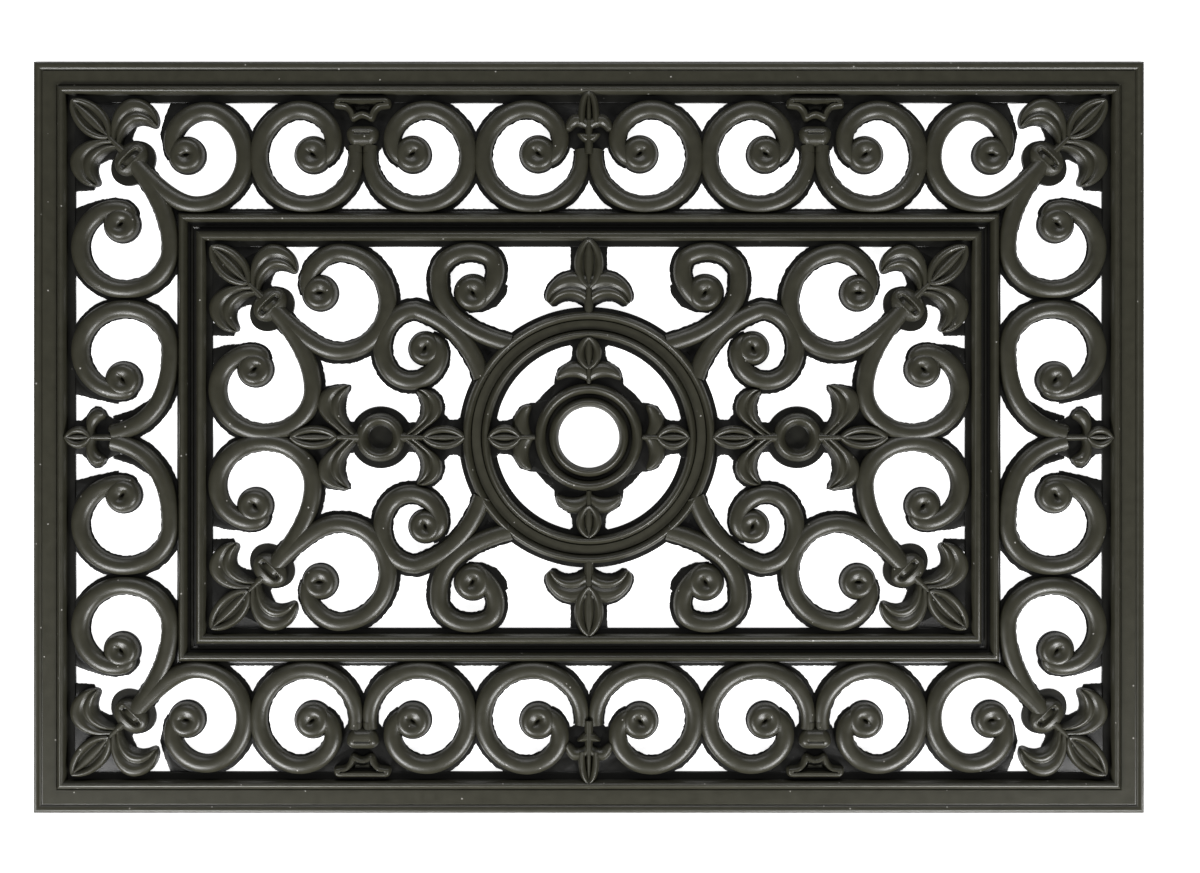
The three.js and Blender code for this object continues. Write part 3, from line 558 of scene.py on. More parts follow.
def moulded_bar_tree():
    """Half-round bar along a path of edges, with its width taken from the taper attribute"""
    name = "Moulded Bar"
    if name in bpy.data.node_groups:
        return bpy.data.node_groups[name]
    tree = new_tree(name, "GeometryNodeTree", BAR_INPUTS, [("Bar", "Geometry", None)])
    given = add_node(tree, "NodeGroupInput").outputs
    ring = add_node(tree, "GeometryNodeCurvePrimitiveCircle", {"Resolution": given["Sides"], "Radius": 1})
    place = add_node(tree, "GeometryNodeInputPosition").outputs[0]
    split = add_node(tree, "ShaderNodeSeparateXYZ", {0: place}).outputs
    # The upper half of the ring becomes the crest, and the lower half falls to the floor
    fullness, just_below = 0.8, -0.001
    rise = maths(tree, "POWER", maths(tree, "MAXIMUM", split["Y"], 0), fullness)
    above = maths(tree, "GREATER_THAN", split["Y"], just_below)
    height = maths(tree, "SUBTRACT", given["Crest"], given["Wall"])
    dome = maths(tree, "MULTIPLY_ADD", rise, height, given["Wall"])
    # A profile's Y runs down from the path, and its X to the right of travel
    level = maths(tree, "MULTIPLY", maths(tree, "MULTIPLY", dome, above), -1)
    half = maths(tree, "MULTIPLY", split["X"], given["Half Width"])
    across = maths(tree, "SUBTRACT", half, given["Side Shift"])
    joined = add_node(tree, "ShaderNodeCombineXYZ", {"X": across, "Y": level})
    section = add_node(
        tree, "GeometryNodeSetPosition",
        {"Geometry": ring.outputs["Curve"], "Position": joined.outputs[0]})

    curve = add_node(tree, "GeometryNodeMeshToCurve", {"Mesh": given["Path"]})
    upright = add_node(tree, "GeometryNodeSetCurveNormal", {"Curve": curve.outputs[0]}, mode="Z_UP")
    taper = add_node(tree, "GeometryNodeInputNamedAttribute", {"Name": "taper"}, data_type="FLOAT")
    sweep = add_node(
        tree, "GeometryNodeCurveToMesh",
        {"Curve": upright.outputs[0], "Profile Curve": section.outputs[0],
         "Scale": taper.outputs["Attribute"], "Fill Caps": True})
    # The flash of the moulding leaves its edge uneven, and its height as it is
    wave = add_node(tree, "ShaderNodeTexNoise", {"Scale": 260, "Detail": 3}).outputs["Color"]
    even = vector_maths(tree, "SUBTRACT", {0: wave, 1: (0.5, 0.5, 0.5)})
    flat = vector_maths(tree, "MULTIPLY", {0: even, 1: (1, 1, 0)})
    push = vector_maths(tree, "SCALE", {0: flat, "Scale": given["Flash"]})
    uneven = add_node(
        tree, "GeometryNodeSetPosition", {"Geometry": sweep.outputs["Mesh"], "Offset": push})
    real = add_node(tree, "GeometryNodeRealizeInstances", {0: uneven.outputs["Geometry"]})
    paint = add_node(
        tree, "GeometryNodeSetMaterial", {"Geometry": real.outputs[0], "Material": given["Rubber"]})
    add_node(tree, "NodeGroupOutput", {"Bar": paint.outputs[0]})
    return tree


def swept(path, half, wall, crest, shift=0.0, taper=None, sides=28, flash=0.0):
    """Bar along a plan path, made by the Moulded Bar tree"""
    count = len(path)
    mesh = bpy.data.meshes.new("path")
    mesh.from_pydata([(x, y, 0) for x, y in path], [(i, i + 1) for i in range(count - 1)], [])
    widths = mesh.attributes.new("taper", "FLOAT", "POINT")
    widths.data.foreach_set("value", np.ones(count) if taper is None else np.asarray(taper, float))
    guide = new_object("path", mesh)
    tree = moulded_bar_tree()
    modifier = guide.modifiers.new("Moulded Bar", "NODES")
    modifier.node_group = tree
    inputs = {item.name: item.identifier for item in tree.interface.items_tree if item.in_out == "INPUT"}
    values = {"Half Width": half, "Side Shift": shift, "Wall": wall, "Crest": crest, "Flash": flash}
    for label, value in values.items():
        modifier[inputs[label]] = float(value)
    modifier[inputs["Sides"]] = sides
    modifier[inputs["Rubber"]] = rubber_material()
    shown = guide.evaluated_get(bpy.context.evaluated_depsgraph_get())
    made = bpy.data.meshes.new_from_object(shown)
    points = np.empty(len(made.vertices) * 3)
    made.vertices.foreach_get("co", points)
    faces = [tuple(face.vertices) for face in made.polygons]
    bpy.data.objects.remove(guide)
    bpy.data.meshes.remove(mesh)
    bpy.data.meshes.remove(made)
    return points.reshape(-1, 3), faces


# Rubber

GRAIN_INPUTS = (
    ("Grain Scale", "Float", 1400.0),
    ("Mottle Scale", "Float", 90.0),
    ("Speck Scale", "Float", 330.0),
    ("Specks", "Float", 0.03),
)
GRAIN_OUTPUTS = (("Height", "Float", None), ("Mottle", "Float", None), ("Dust", "Float", None))


def grain_group():
    """Fine moulding grain: a height, a mottled colour share and dust specks"""
    name = "Moulding Grain"
    if name in bpy.data.node_groups:
        return bpy.data.node_groups[name]
    tree = new_tree(name, "ShaderNodeTree", GRAIN_INPUTS, GRAIN_OUTPUTS)
    given = add_node(tree, "NodeGroupInput").outputs
    place = add_node(tree, "ShaderNodeTexCoord").outputs["Object"]
    fine, mottle = (
        add_node(tree, "ShaderNodeTexNoise",
                 {"Vector": place, "Scale": given[scale], "Detail": detail, "Roughness": roughness},
                 ).outputs["Fac"]
        for scale, detail, roughness in (("Grain Scale", 3, 0.6), ("Mottle Scale", 4, 0.55)))
    cells = add_node(
        tree, "ShaderNodeTexVoronoi",
        {"Vector": place, "Scale": given["Speck Scale"], "Randomness": 1}).outputs
    speck_radius, mottle_height = 0.22, 0.7
    near = maths(tree, "LESS_THAN", cells["Distance"], speck_radius)
    pick = add_node(tree, "ShaderNodeSeparateColor", {0: cells["Color"]}).outputs[0]
    rare = maths(tree, "LESS_THAN", pick, given["Specks"])
    add_node(tree, "NodeGroupOutput", {
        "Height": maths(tree, "MULTIPLY_ADD", mottle, mottle_height, fine),
        "Mottle": mottle,
        "Dust": maths(tree, "MULTIPLY", near, rare),
    })
    return tree


def rubber_material():
    """Dark warm grey moulded rubber with a satin skin, and painted shade that darkens its colour where it
    lies low
    """
    name = "Moulded Rubber"
    if name in bpy.data.materials:
        return bpy.data.materials[name]
    finish = bpy.context.scene.doormat_finish
    material = bpy.data.materials.new(name)
    material.use_nodes = True
    tree = material.node_tree
    grain = add_node(
        tree, "ShaderNodeGroup",
        {"Grain Scale": 1300, "Mottle Scale": 110, "Speck Scale": 330, "Specks": 0.012},
        node_tree=grain_group()).outputs
    dark, light = ((*[c * share for c in finish.rubber], 1) for share in (0.76, 1.3))
    tone = add_node(
        tree, "ShaderNodeMix", {"A": dark, "B": light, "Factor": grain["Mottle"]}, data_type="RGBA")
    dusty = add_node(
        tree, "ShaderNodeMix",
        {"A": tone.outputs["Result"], "B": (*finish.dust, 1), "Factor": grain["Dust"]}, data_type="RGBA")
    # Painted shade: the colour falls to a tenth at 3.4 mm high and below, and comes back in full at 7.4
    # mm, so webs and ledges look shaded
    place = add_node(tree, "ShaderNodeTexCoord").outputs["Object"]
    height = add_node(tree, "ShaderNodeSeparateXYZ", {0: place}).outputs["Z"]
    painted_shade = add_node(
        tree, "ShaderNodeMapRange",
        {"Value": height, "From Min": 3.4 * MM, "From Max": 7.4 * MM, "To Min": 0.1})
    # sunk is the rubber's colour with the painted shade in it
    sunk = vector_maths(tree, "SCALE", {0: dusty.outputs["Result"], "Scale": painted_shade.outputs["Result"]})
    smoother, rougher = 0.05, 0.07
    rough = add_node(
        tree, "ShaderNodeMapRange",
        {"Value": grain["Mottle"], "To Min": finish.roughness - smoother,
         "To Max": finish.roughness + rougher})
    bump = add_node(
        tree, "ShaderNodeBump", {"Height": grain["Height"], "Strength": 0.2, "Distance": 0.6 * MM})
    wire(tree, tree.nodes["Principled BSDF"], {
        "Base Color": sunk,
        "Roughness": rough.outputs["Result"],
        "Normal": bump.outputs["Normal"],
        "IOR": 1.5,
    })
    return material


def finished(name, shape, flip=(1, 1), quarter_turns=0, sharp_from=38):
    """Object for one member, in place of the frame's node of that name"""
    mesh = shape.mesh(name + "_skin", flip, quarter_turns)
    mesh.materials.append(rubber_material())
    mesh.polygons.foreach_set("use_smooth", [True] * len(mesh.polygons))
    mesh.set_sharp_from_angle(angle=degrees(sharp_from))
    piece = new_object(name + "_skin", mesh)
    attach(piece, "root")
    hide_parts(name)


def set_out(name, shape, places=QUADRANTS):
    """One piece for each place that the shape is mirrored to"""
    for place, flip in places.items():
        finished(f"{name}_{place}", shape, flip)


# Scrolls

def scroll_path(centre, radii, volute, start, turn, ring, curl, crest, steps):
    """Plan path of a scroll: a stretch of ring that closes in on its volute"""
    swept_angle = np.linspace(0, ring + curl, steps)
    closed = eased(np.clip((swept_angle - ring) / curl, 0, 1))
    angle = degrees(start + turn * swept_angle)
    radius_x = radii[0] + (crest - radii[0]) * closed
    radius_y = radii[1] + (crest - radii[1]) * closed
    x = centre[0] + (volute[0] - centre[0]) * closed + radius_x * np.cos(angle)
    y = centre[1] + (volute[1] - centre[1]) * closed + radius_y * np.sin(angle)
    return np.stack([x, y], axis=1)


def stem_path(start, bend, end, steps=14):
    """Bent stem that leads into a scroll"""
    t = np.linspace(0, 1, steps, endpoint=False)[:, None]
    start, bend, end = (np.array(p, float) for p in (start, bend, end))
    return start * (1 - t) ** 2 + bend * 2 * t * (1 - t) + end * t ** 2


def add_scroll(shape, centre, radii, volute, start, turn, ring, curl,
               stem=None, boss=14.9, outer=10.4, inner=8.3):
    """Bar, flange and volute of one scroll.

    It starts at an angle on its ring, follows the ring for some degrees to the left or to the
    right, and curls in over some more. The volute's place is in shares of the ring's radii.
    A stem leads in from a place past a bend. The boss is the volute's radius, and outer and
    inner are the flange's reaches from the bar's middle line, all in millimetres.
    """
    sizes = shape.sizes
    usual_boss, free_start, free_flange, free_end = 14.9, 0.74, 0.8, 0.8
    taper_in, taper_out, flange_fineness, flash = 0.14, 0.8, 2.4, 2.4 * MM
    bar_wall, flange_wall, flange_top = (sizes.web_top * share for share in (0.8, 0.66, 0.72))
    volute = (centre[0] + radii[0] * volute[0], centre[1] + radii[1] * volute[1])
    crest = sizes.volute_crest * boss / usual_boss
    path = scroll_path(centre, radii, volute, start, turn, ring, curl, crest, sizes.path_steps)
    if stem:
        path = np.vstack([stem_path(*stem, path[0]), path])
    count = len(path)
    first, last = count * taper_in, count * taper_out
    taper = np.interp(np.arange(count), [0, first, last, count - 1],
                      [1 if stem else free_start, 1, 1, free_end])
    shape.add(swept(path, sizes.bar_half, bar_wall, sizes.bar_top, taper=taper))
    # The flange runs on shorter sides, so that its edge can be uneven
    fine = smooth_path(path, int(count * flange_fineness))
    taper = np.interp(np.arange(count), [0, first, last, count],
                      [1 if stem else free_flange, 1, 1, free_end])
    taper = np.interp(np.linspace(0, 1, len(fine)), np.linspace(0, 1, count), taper)
    shift = (outer - inner) / 2 * (1 if turn < 0 else -1)
    shape.add(swept(fine, (outer + inner) / 2 * MM, flange_wall, flange_top,
                    shift * MM, taper, sides=12, flash=flash))
    add_boss(shape, volute, boss * MM, start + turn * (ring + curl))


def add_boss(shape, centre, radius, heading):
    """Volute: the bar's last turn closes round an almond-shaped dimple"""
    above_bar = 0.15 * MM
    low, top = shape.sizes.web_top * 0.7, shape.sizes.bar_top + above_bar
    crest, outside, flange = (radius * share for share in (0.55, 0.43, 1.05))
    fullness, bowl_depth, almond_depth = 2.3, 0.3, 0.42
    almond_length, almond_width = 3.6 * MM, 1.3 * MM

    def height_at(x, y):
        away = np.hypot(x, y)
        dome = (1 - np.clip((away - crest) / outside, 0, 1) ** fullness) ** 0.5
        bowl = bowl_depth * eased(np.clip(1 - away / crest, 0, 1))
        almond = np.exp(-((x / almond_length) ** 2 + (y / almond_width) ** 2))
        return low + (top - low) * np.clip(dome - bowl - almond_depth * almond, 0, 1)

    shape.add(polar_body(centre, flange, flange, height_at, heading))


class DOORMAT_OT_end_scrolls(Operator):
    """Twelve single scrolls between the long rails and the inner frame"""
    bl_idname = "doormat.end_scrolls"
    bl_label = "End Band Scrolls"

    def execute(self, context):
        layout = Layout()
        # Each ring's start and end along the band, its turn, its volute's place and its first rise
        ends = {
            "inner": (0, layout.pitch, 1, (-0.113, 0.058), 9),
            "middle": (layout.pitch, 2 * layout.pitch, -1, (0.135, 0.049), 14),
            "outer": (2 * layout.pitch, layout.corner[0], 1, (-0.115, 0.04), 14),
        }
        for name, (start, end, turn, volute, rise) in ends.items():
            shape = Shape()
            add_scroll(shape, ((start + end) / 2, layout.end_y),
                       ((end - start) / 2 - layout.ring_inset, layout.end_ring), volute,
                       start=rise if turn < 0 else 180 - rise, turn=turn, ring=260, curl=150)
            set_out("end_scroll_" + name, shape)
        return {"FINISHED"}


# Small webs in narrow gaps beside scrolls, in plan places from the mat's middle
CORNER_FILLERS = (
    ((326, 275), (340, 275), (346, 262), (350, 247), (348, 240), (338, 255)),
    ((401, 208), (421, 212), (421, 200.5), (404, 201.5)),
    ((384, 192), (396, 194.6), (409, 190.6), (421, 186), (421, 176), (408, 178)),
)
SIDE_FILLERS = (
    ((421, 50), (421, 35.5), (401, 30.5), (384, 27), (384, 34), (404, 42)),
    ((360, 30), (372, 22.5), (388, 17.5), (388, 13), (372, 15), (358, 24)),
)
FIELD_FILLERS = (
    ((287, 89), (308, 94), (308, 83), (290, 82.5)),
    ((282, 76.5), (296, 75.5), (308, 72), (308, 60), (298, 62), (288, 69)),
)
LOWER_FILLER = ((82, 50), (67, 74), (78, 83), (96, 80), (94, 62))
UPPER_FILLER = (
    (66, 124), (67.5, 116), (75, 107), (86, 102.3), (98, 101.4), (98, 105), (84, 109), (74, 117),
    (70, 126))


def add_fillers(shape, *fillers, share=FILLER_SHARE):
    """Low webs over outlines in millimetres"""
    for filler in fillers:
        shape.web(millimetres(filler), share)


class DOORMAT_OT_corner_scrolls(Operator):
    """Pairs of scrolls that leave one stem in each corner of the bands"""
    bl_idname = "doormat.corner_scrolls"
    bl_label = "Corner Scrolls"

    def execute(self, context):
        layout = Layout()
        collar = np.array(layout.rail_in) - layout.outer_collar_inset
        first = (layout.corner[0] + layout.ring_inset + layout.end_ring, layout.end_y)
        second = (layout.side_x, layout.corner[1] + layout.side_inset + layout.side_ring_y)
        fork = (second[0] - layout.side_ring, first[1] - layout.end_ring)
        shape = Shape()
        add_scroll(shape, first, (layout.end_ring, layout.end_ring), (0.2, 0.03),
                   start=270, turn=-1, ring=150, curl=130, stem=(collar, fork), inner=7)
        add_scroll(shape, second, (layout.side_ring, layout.side_ring_y), (0.085, 0.545),
                   start=180, turn=1, ring=227, curl=90, stem=(collar, fork), boss=14.6)
        add_fillers(shape, *CORNER_FILLERS)
        set_out("corner_scrolls", shape)
        return {"FINISHED"}


class DOORMAT_OT_side_scrolls(Operator):
    """Four scrolls that rise from the middle of the side bands"""
    bl_idname = "doormat.side_scrolls"
    bl_label = "Side Band Scrolls"

    def execute(self, context):
        layout = Layout()
        centre = (layout.side_x, layout.corner[1] - layout.side_inset - layout.side_ring_y)
        root_inset, root_rise, bend_inset, bend_share = 37.2 * MM, 3 * MM, 7 * MM, 0.118
        root = (layout.rail_in[0] - root_inset, root_rise)
        bend = (layout.frame_out[0] + bend_inset, layout.corner[1] * bend_share)
        shape = Shape()
        add_scroll(shape, centre, (layout.side_ring, layout.side_ring_y), (0.05, -0.68),
                   start=180, turn=-1, ring=226, curl=82, stem=(root, bend), boss=14.6)
        add_fillers(shape, *SIDE_FILLERS)
        set_out("side_scroll", shape)
        return {"FINISHED"}


class DOORMAT_OT_field_scrolls(Operator):
    """Scrolls of the field, from its corners and from the big ring"""
    bl_idname = "doormat.field_scrolls"
    bl_label = "Field Scrolls"

    def execute(self, context):
        layout = Layout()
        place = layout.in_field
        collar = np.array(layout.field) - layout.field_collar_inset
        first, first_radii = place((0.652, 0.689)), place((0.127, 0.252))
        second, second_radii = place((0.846, 0.243)), place((0.1246, 0.219))
        fork = (second[0] - second_radii[0], first[1] - first_radii[1])
        pair = Shape()
        add_scroll(pair, first, first_radii, (0.4, 0.18),
                   start=270, turn=-1, ring=180, curl=90, stem=(collar, fork), boss=14.5)
        add_scroll(pair, second, second_radii, (0.21, 0.475),
                   start=180, turn=1, ring=205, curl=110, stem=(collar, fork), boss=14.5, inner=7.7)
        add_fillers(pair, *FIELD_FILLERS)
        set_out("field_corner_scrolls", pair)
        lower = Shape()
        add_scroll(lower, place((0.451, 0.458)), place((0.0895, 0.1906)), (-0.265, -0.03),
                   start=90, turn=-1, ring=125, curl=210,
                   stem=(ring_edge(29.3), place((0.323, 0.573))), boss=13.7, inner=9)
        add_fillers(lower, LOWER_FILLER, share=RING_FILLER_SHARE)
        set_out("field_scroll_lower", lower)
        upper = Shape()
        add_scroll(upper, place((0.31, 0.821)), place((0.082, 0.128)), (-0.08, -0.673),
                   start=0, turn=1, ring=125, curl=110,
                   stem=(ring_edge(50), place((0.402, 0.573))), boss=15.1, inner=9.4)
        add_fillers(upper, UPPER_FILLER, share=RING_FILLER_SHARE)
        set_out("field_scroll_upper", upper)
        return {"FINISHED"}


def ring_edge(angle, inside=4 * MM):
    """Plan place just inside the big ring's edge, at an angle in degrees"""
    radius = ring_radius - inside
    return (radius * math.cos(degrees(angle)), radius * math.sin(degrees(angle)))


# Rails and rings

def bead(start, width, foot_in, crest, foot_out, steps=9, fullness=0.7):
    """Rounded bead across a profile, as inset and height"""
    points = []
    for i in range(steps + 1):
        share = i / steps
        base = foot_in + (foot_out - foot_in) * share
        rise = math.sin(math.pi * share) ** fullness
        points.append((start + width * share, base + (crest - base) * rise))
    return points


def mitred(half_x, half_y, profile):
    """Frame of four rails; the profile is inset and height from the outside in"""
    rows = []
    for sx, sy in QUADRANTS.values():
        rows.append([(sx * (half_x - inset), sy * (half_y - inset), z)
                     for inset, z in millimetres(profile)])
    return loft(rows, closed=True)


class DOORMAT_OT_border(Operator):
    """Beaded border rail with mitred corners"""
    bl_idname = "doormat.border"
    bl_label = "Outer Border"

    def execute(self, context):
        width = context.scene.doormat_sizes.rail_width / MM
        ledge = width + Layout.rail_ledge / MM
        profile = [
            (0, 0), (0, 3),
            *bead(0, 6.9, foot_in=5, crest=9.5, foot_out=7.6),
            (7.3, 7), (7.9, 7.2), (8.4, 8), (19.2, 8), (19.6, 7.3), (20.1, 7.2),
            *bead(20.3, 6.7, foot_in=7.6, crest=12, foot_out=7),
            (width, 4.6), (width + 0.4, 3.8), (ledge - 0.5, 3.6), (ledge, 3.2), (ledge, 0),
        ]
        finished("outer_border", Shape().add(mitred(half_length, half_width, profile)))
        return {"FINISHED"}


class DOORMAT_OT_inner_frame(Operator):
    """Inner frame of two beads with a channel between them"""
    bl_idname = "doormat.inner_frame"
    bl_label = "Inner Frame"

    def execute(self, context):
        layout = Layout()
        width = context.scene.doormat_sizes.frame_width / MM
        outer, inner = -layout.frame_ledge / MM, width + layout.field_ledge / MM
        profile = [
            (outer, 0), (outer, 3.2), (outer + 0.5, 3.6), (-0.2, 3.8),
            *bead(0, 6.6, foot_in=7, crest=11.5, foot_out=6.4),
            (6.9, 3.6), (8.6, 3.4), (9.6, 4.2), (10.8, 4.2), (11.8, 3.4), (13.9, 3.6),
            *bead(width - 7.8, 7.8, foot_in=6.4, crest=11.5, foot_out=7),
            (width + 0.2, 3.8), (inner - 0.5, 3.6), (inner, 3.2), (inner, 0),
        ]
        reach, out = layout.frame_out
        rails = Shape().add(mitred(reach, out, profile))
        for side in (1, -1):
            near, far = side * out, side * (out + layout.long_ledge)
            rails.web([(-reach, near), (reach, near), (reach, far), (-reach, far)], FLANGE_SHARE)
        finished("inner_frame", rails)
        return {"FINISHED"}


HUB_CORNER = ((41, -10), (50.4, -14.5), (51.4, 0), (50.4, 14.5), (41, 10))


class DOORMAT_OT_medallion(Operator):
    """Big ring and hub in the middle of the field"""
    bl_idname = "doormat.medallion"
    bl_label = "Medallion"

    def execute(self, context):
        low = context.scene.doormat_sizes.web_top * RING_FLANGE_SHARE / MM
        flat = 7.4
        ring = [
            (76.6, 0), (76.6, low - 0.4), (77, low), (80.7, low),
            *bead(80.9, 6, foot_in=6.6, crest=11.5, foot_out=6.8),
            (87.2, 6), (88, flat), (95, flat), (95.8, 6),
            *bead(96.1, 6.4, foot_in=6.8, crest=11.5, foot_out=6.6),
            (102.8, low), (106, low - 0.2), (106.4, low - 0.6), (106.4, 0),
        ]
        finished("medallion_ring", Shape().add(ring_body(ring, steps=180)))
        outside = hub_radius / MM
        hub = [
            (24.7, 0), (24.7, 4.6),
            *bead(24.8, 7.2, foot_in=5.6, crest=11.4, foot_out=6),
            (32.3, 4.4), (33, 4), (34.8, 4), (35.3, 4.6),
            *bead(35.5, 8.2, foot_in=6, crest=11.5, foot_out=6),
            (44, low), (outside, low - 0.4), (outside, 0),
        ]
        shape = Shape().add(ring_body(hub, steps=120))
        for heading in (45, 135, 225, 315):
            shape.web(placer((0, 0), heading)(millimetres(HUB_CORNER)), HUB_CORNER_SHARE)
        finished("medallion_hub", shape)
        return {"FINISHED"}


# Leaf ornaments; their places run forward along an axis and out to its side

def both_sides(side):
    """Outline given on one side of its axis, with its mirror image"""
    half = millimetres(side)
    return np.array([(u, -v) for u, v in half] + [(u, v) for u, v in reversed(half) if v > 0])


def add_web(shape, side):
    """Low web round an ornament"""
    shape.web(shape.put(both_sides(side)))


def add_leaf(shape, base, tip, half, blunt=0, steps=44):
    """Leaf that lies on the petals, or one behind them whose base is held open by blunt"""
    share = np.linspace(0, 1, steps)
    held = blunt / 2
    first, last, fullness = held + 0.02, 0.965 - held, 0.52 - 0.3 * blunt
    swell = np.clip(np.sin(math.pi * (first + last * share)), 0, 1) ** fullness
    axis = shape.put([((base + (tip - base) * t) * MM, 0) for t in share])
    on_petals = 0.62
    top, foot = shape.heights(bar_share=1, web_share=0.8)
    if not blunt:
        foot = top * on_petals
    shape.add(blade(axis, half * MM * swell, leaf_height, top, foot))


def add_petals(shape, outer, inner, wall=0.15, steps=34):
    """Petal on each side of an ornament's axis; without a wall it has one round ridge"""
    top, foot = shape.heights(bar_share=0.88, web_share=0.75)
    for side in (1, -1):
        edges = [shape.put(smooth_path([(u, side * v) for u, v in millimetres(edge)], steps))
                 for edge in (outer, inner)]
        shape.add(petal(*edges, top, foot, wall))


def add_flanges(shape, outer, inner, reach=1.8 * MM, steps=30):
    """Low flange under each of a pair of petals, wider than they are"""
    outer, inner = (smooth_path(millimetres(edge), steps) for edge in (outer, inner))
    away = np.vstack([outer - inner, (outer - inner)[::-1] * -1]) / 2
    away /= np.maximum(np.linalg.norm(away, axis=1, keepdims=True), TINY)
    wide = np.vstack([outer, inner[::-1]]) + away * reach
    for side in (1, -1):
        shape.web(shape.put(wide * (1, side)), FLANGE_SHARE)


def add_stem(shape, places, halves, steps=16):
    """Narrow half-round stem through places along an ornament's axis"""
    path = smooth_path(shape.put([(u * MM, 0) for u in places]), steps)
    widths = np.interp(np.linspace(0, 1, steps), np.linspace(0, 1, len(halves)), np.array(halves) * MM)
    shape.add(blade(path, widths, rounded, *shape.heights(bar_share=0.93, web_share=0.8)))


def add_cap(shape, side):
    """Small raised cap across a stem"""
    outline = shape.put(smooth_path(both_sides(side), steps=60, closed=True))
    top, foot = shape.heights(bar_share=0.9, web_share=WEB_SHARE)
    shoulder_radius = 3.2 * MM
    shape.add(mound(
        outline, outline.mean(axis=0),
        lambda way_in, plan: foot + (top - foot) * shoulder(way_in, shoulder_radius), rings=12))


def add_knots(shape):
    """Small round knot with a dimple on each side of a stem"""
    top, foot = shape.heights(bar_share=0.8, web_share=WEB_SHARE)
    reach, crest, ridge_width = 5 * MM, 2.9 * MM, 1.2 * MM
    dimple, dimple_depth = 1 * MM, 0.3 * MM

    def height_at(x, y):
        away = np.hypot(x, y)
        ridge = np.exp(-((away - crest) / ridge_width) ** 2)
        return foot + (top - foot) * ridge - dimple_depth * (away < dimple)

    for place in shape.put(millimetres(((4.4, 6.6), (4.4, -6.6)))):
        shape.add(polar_body(place, reach, reach, height_at, rings=16, steps=32))


def add_collar(shape, centre, heading):
    """Oval collar with a sunk slot across its top and a flange round its foot"""
    web_top, top = shape.sizes.web_top, shape.sizes.bead_top
    low, flange_top = web_top * 0.85, web_top * 0.95
    foot = low * 0.9
    across, along = 17 * MM, 13.2 * MM
    slot_across, slot_along, slot_depth = 9.6 * MM, 2.9 * MM, 3.4 * MM
    dome_reach, fullness = 0.92, 2.6
    rim_height, rim_place, rim_width = 0.4 * MM, 1.5, 0.3
    slot_lip, slot_wall = 1.2, 0.4

    def height_at(x, y):
        share = np.hypot(x / along, y / across)
        dome = np.sqrt(np.clip(1 - np.clip(share / dome_reach, 0, 1) ** fullness, 0, 1))
        inside = ((x / slot_along) ** 4 + (y / slot_across) ** 4) ** 0.25
        sunk = eased(np.clip((slot_lip - inside) / slot_wall, 0, 1))
        rim = rim_height * np.exp(-((inside - rim_place) / rim_width) ** 2)
        height = low + (top - low - rim_height) * dome + rim * dome - slot_depth * sunk
        return np.maximum(height, foot)

    flange = shape.put(millimetres([(-3.4, -1.4)]))[0]
    flange_along, flange_across = 15.8 * MM, 20.2 * MM
    shape.add(polar_body(
        flange, flange_along, flange_across, lambda x, y: np.full(x.shape, flange_top), heading))
    shape.add(polar_body(centre, along, across, height_at, heading, rings=40, steps=96))


CORNER_PETAL_OUTER = (
    (24, 1), (32, 9), (36.8, 18), (38, 27), (35.4, 35), (29, 40.6), (20.5, 42.8), (12.5, 41.8),
    (6.6, 38.6), (4, 35.4))
CORNER_PETAL_INNER = (
    (12, 2), (15, 7), (16.8, 13), (16.6, 19.5), (14.2, 24.6), (10.2, 28), (6.8, 29.6), (4.4, 31),
    (3.2, 33.4))
CORNER_WEB = ((-2, 14), (12, 12), (19, 30), (30, 41), (38, 44), (73, 3))


class DOORMAT_OT_corner_fleurs(Operator):
    """Leaf ornaments with collars in the corners of the bands and of the field"""
    bl_idname = "doormat.corner_fleurs"
    bl_label = "Corner Ornaments"

    def execute(self, context):
        layout = Layout()
        kinds = {
            "corner_fleur": (layout.rail_in, layout.outer_collar_inset),
            "field_corner_fleur": (layout.field, layout.field_collar_inset),
        }
        under_rail = 0.5 * MM
        for name, (corner, inset) in kinds.items():
            collar = np.array(corner) - inset
            shape = Shape(placer(collar, 45))
            left = millimetres(CORNER_WEB)
            right = [(u, -v) for u, v in reversed(left)]
            outline = np.vstack([smooth_path(shape.put(side), steps=40) for side in (left, right)])
            shape.web(np.minimum(outline, np.array(corner) + under_rail))
            add_leaf(shape, base=24, tip=66.4, half=12.3)
            add_petals(shape, CORNER_PETAL_OUTER, CORNER_PETAL_INNER)
            add_stem(shape, places=(8, 18, 26), halves=(3.6, 2.9, 2.4))
            add_collar(shape, collar, 45)
            set_out(name, shape)
        return {"FINISHED"}


NORTH_PETAL_OUTER = (
    (26, 0.5), (28.6, 5), (30.2, 9), (29.4, 13.6), (25.8, 17.4), (20.6, 19.6), (16.2, 19.2))
NORTH_PETAL_INNER = (
    (15.4, 0.5), (16.6, 3), (18.8, 6.6), (19.2, 9.4), (17.6, 12.2), (15.6, 14.6), (14.8, 17.6))
NORTH_CAP = ((14.2, 0), (14.4, 5), (14.2, 9.2), (12.4, 9.4), (9.6, 7.2), (6.6, 4), (5.6, 0))
NORTH_WEB = ((45.6, 34), (39, 34), (32, 26), (28, 21.5), (3, 21.5), (3, 14), (-0.5, 9.5), (-4, 6))
EAST_PETAL_OUTER = (
    (26.2, 0.5), (27, 6), (27, 12), (25.4, 18), (22, 22.4), (17.6, 24), (13.4, 22.6), (10.8, 19.2))
EAST_PETAL_INNER = (
    (18, 0.5), (19, 5), (18.2, 9), (16.4, 11.8), (14.2, 13.6), (12.4, 14.6), (11, 15.6), (10.2, 17.2))
EAST_WEB = (
    (-4, 12), (0, 13.4), (6, 15.6), (9.5, 17.6), (12, 22), (16, 25), (20, 25.6), (24, 22.4), (27.4, 17),
    (31, 14), (37, 13.6), (37.5, 18), (42.5, 18))


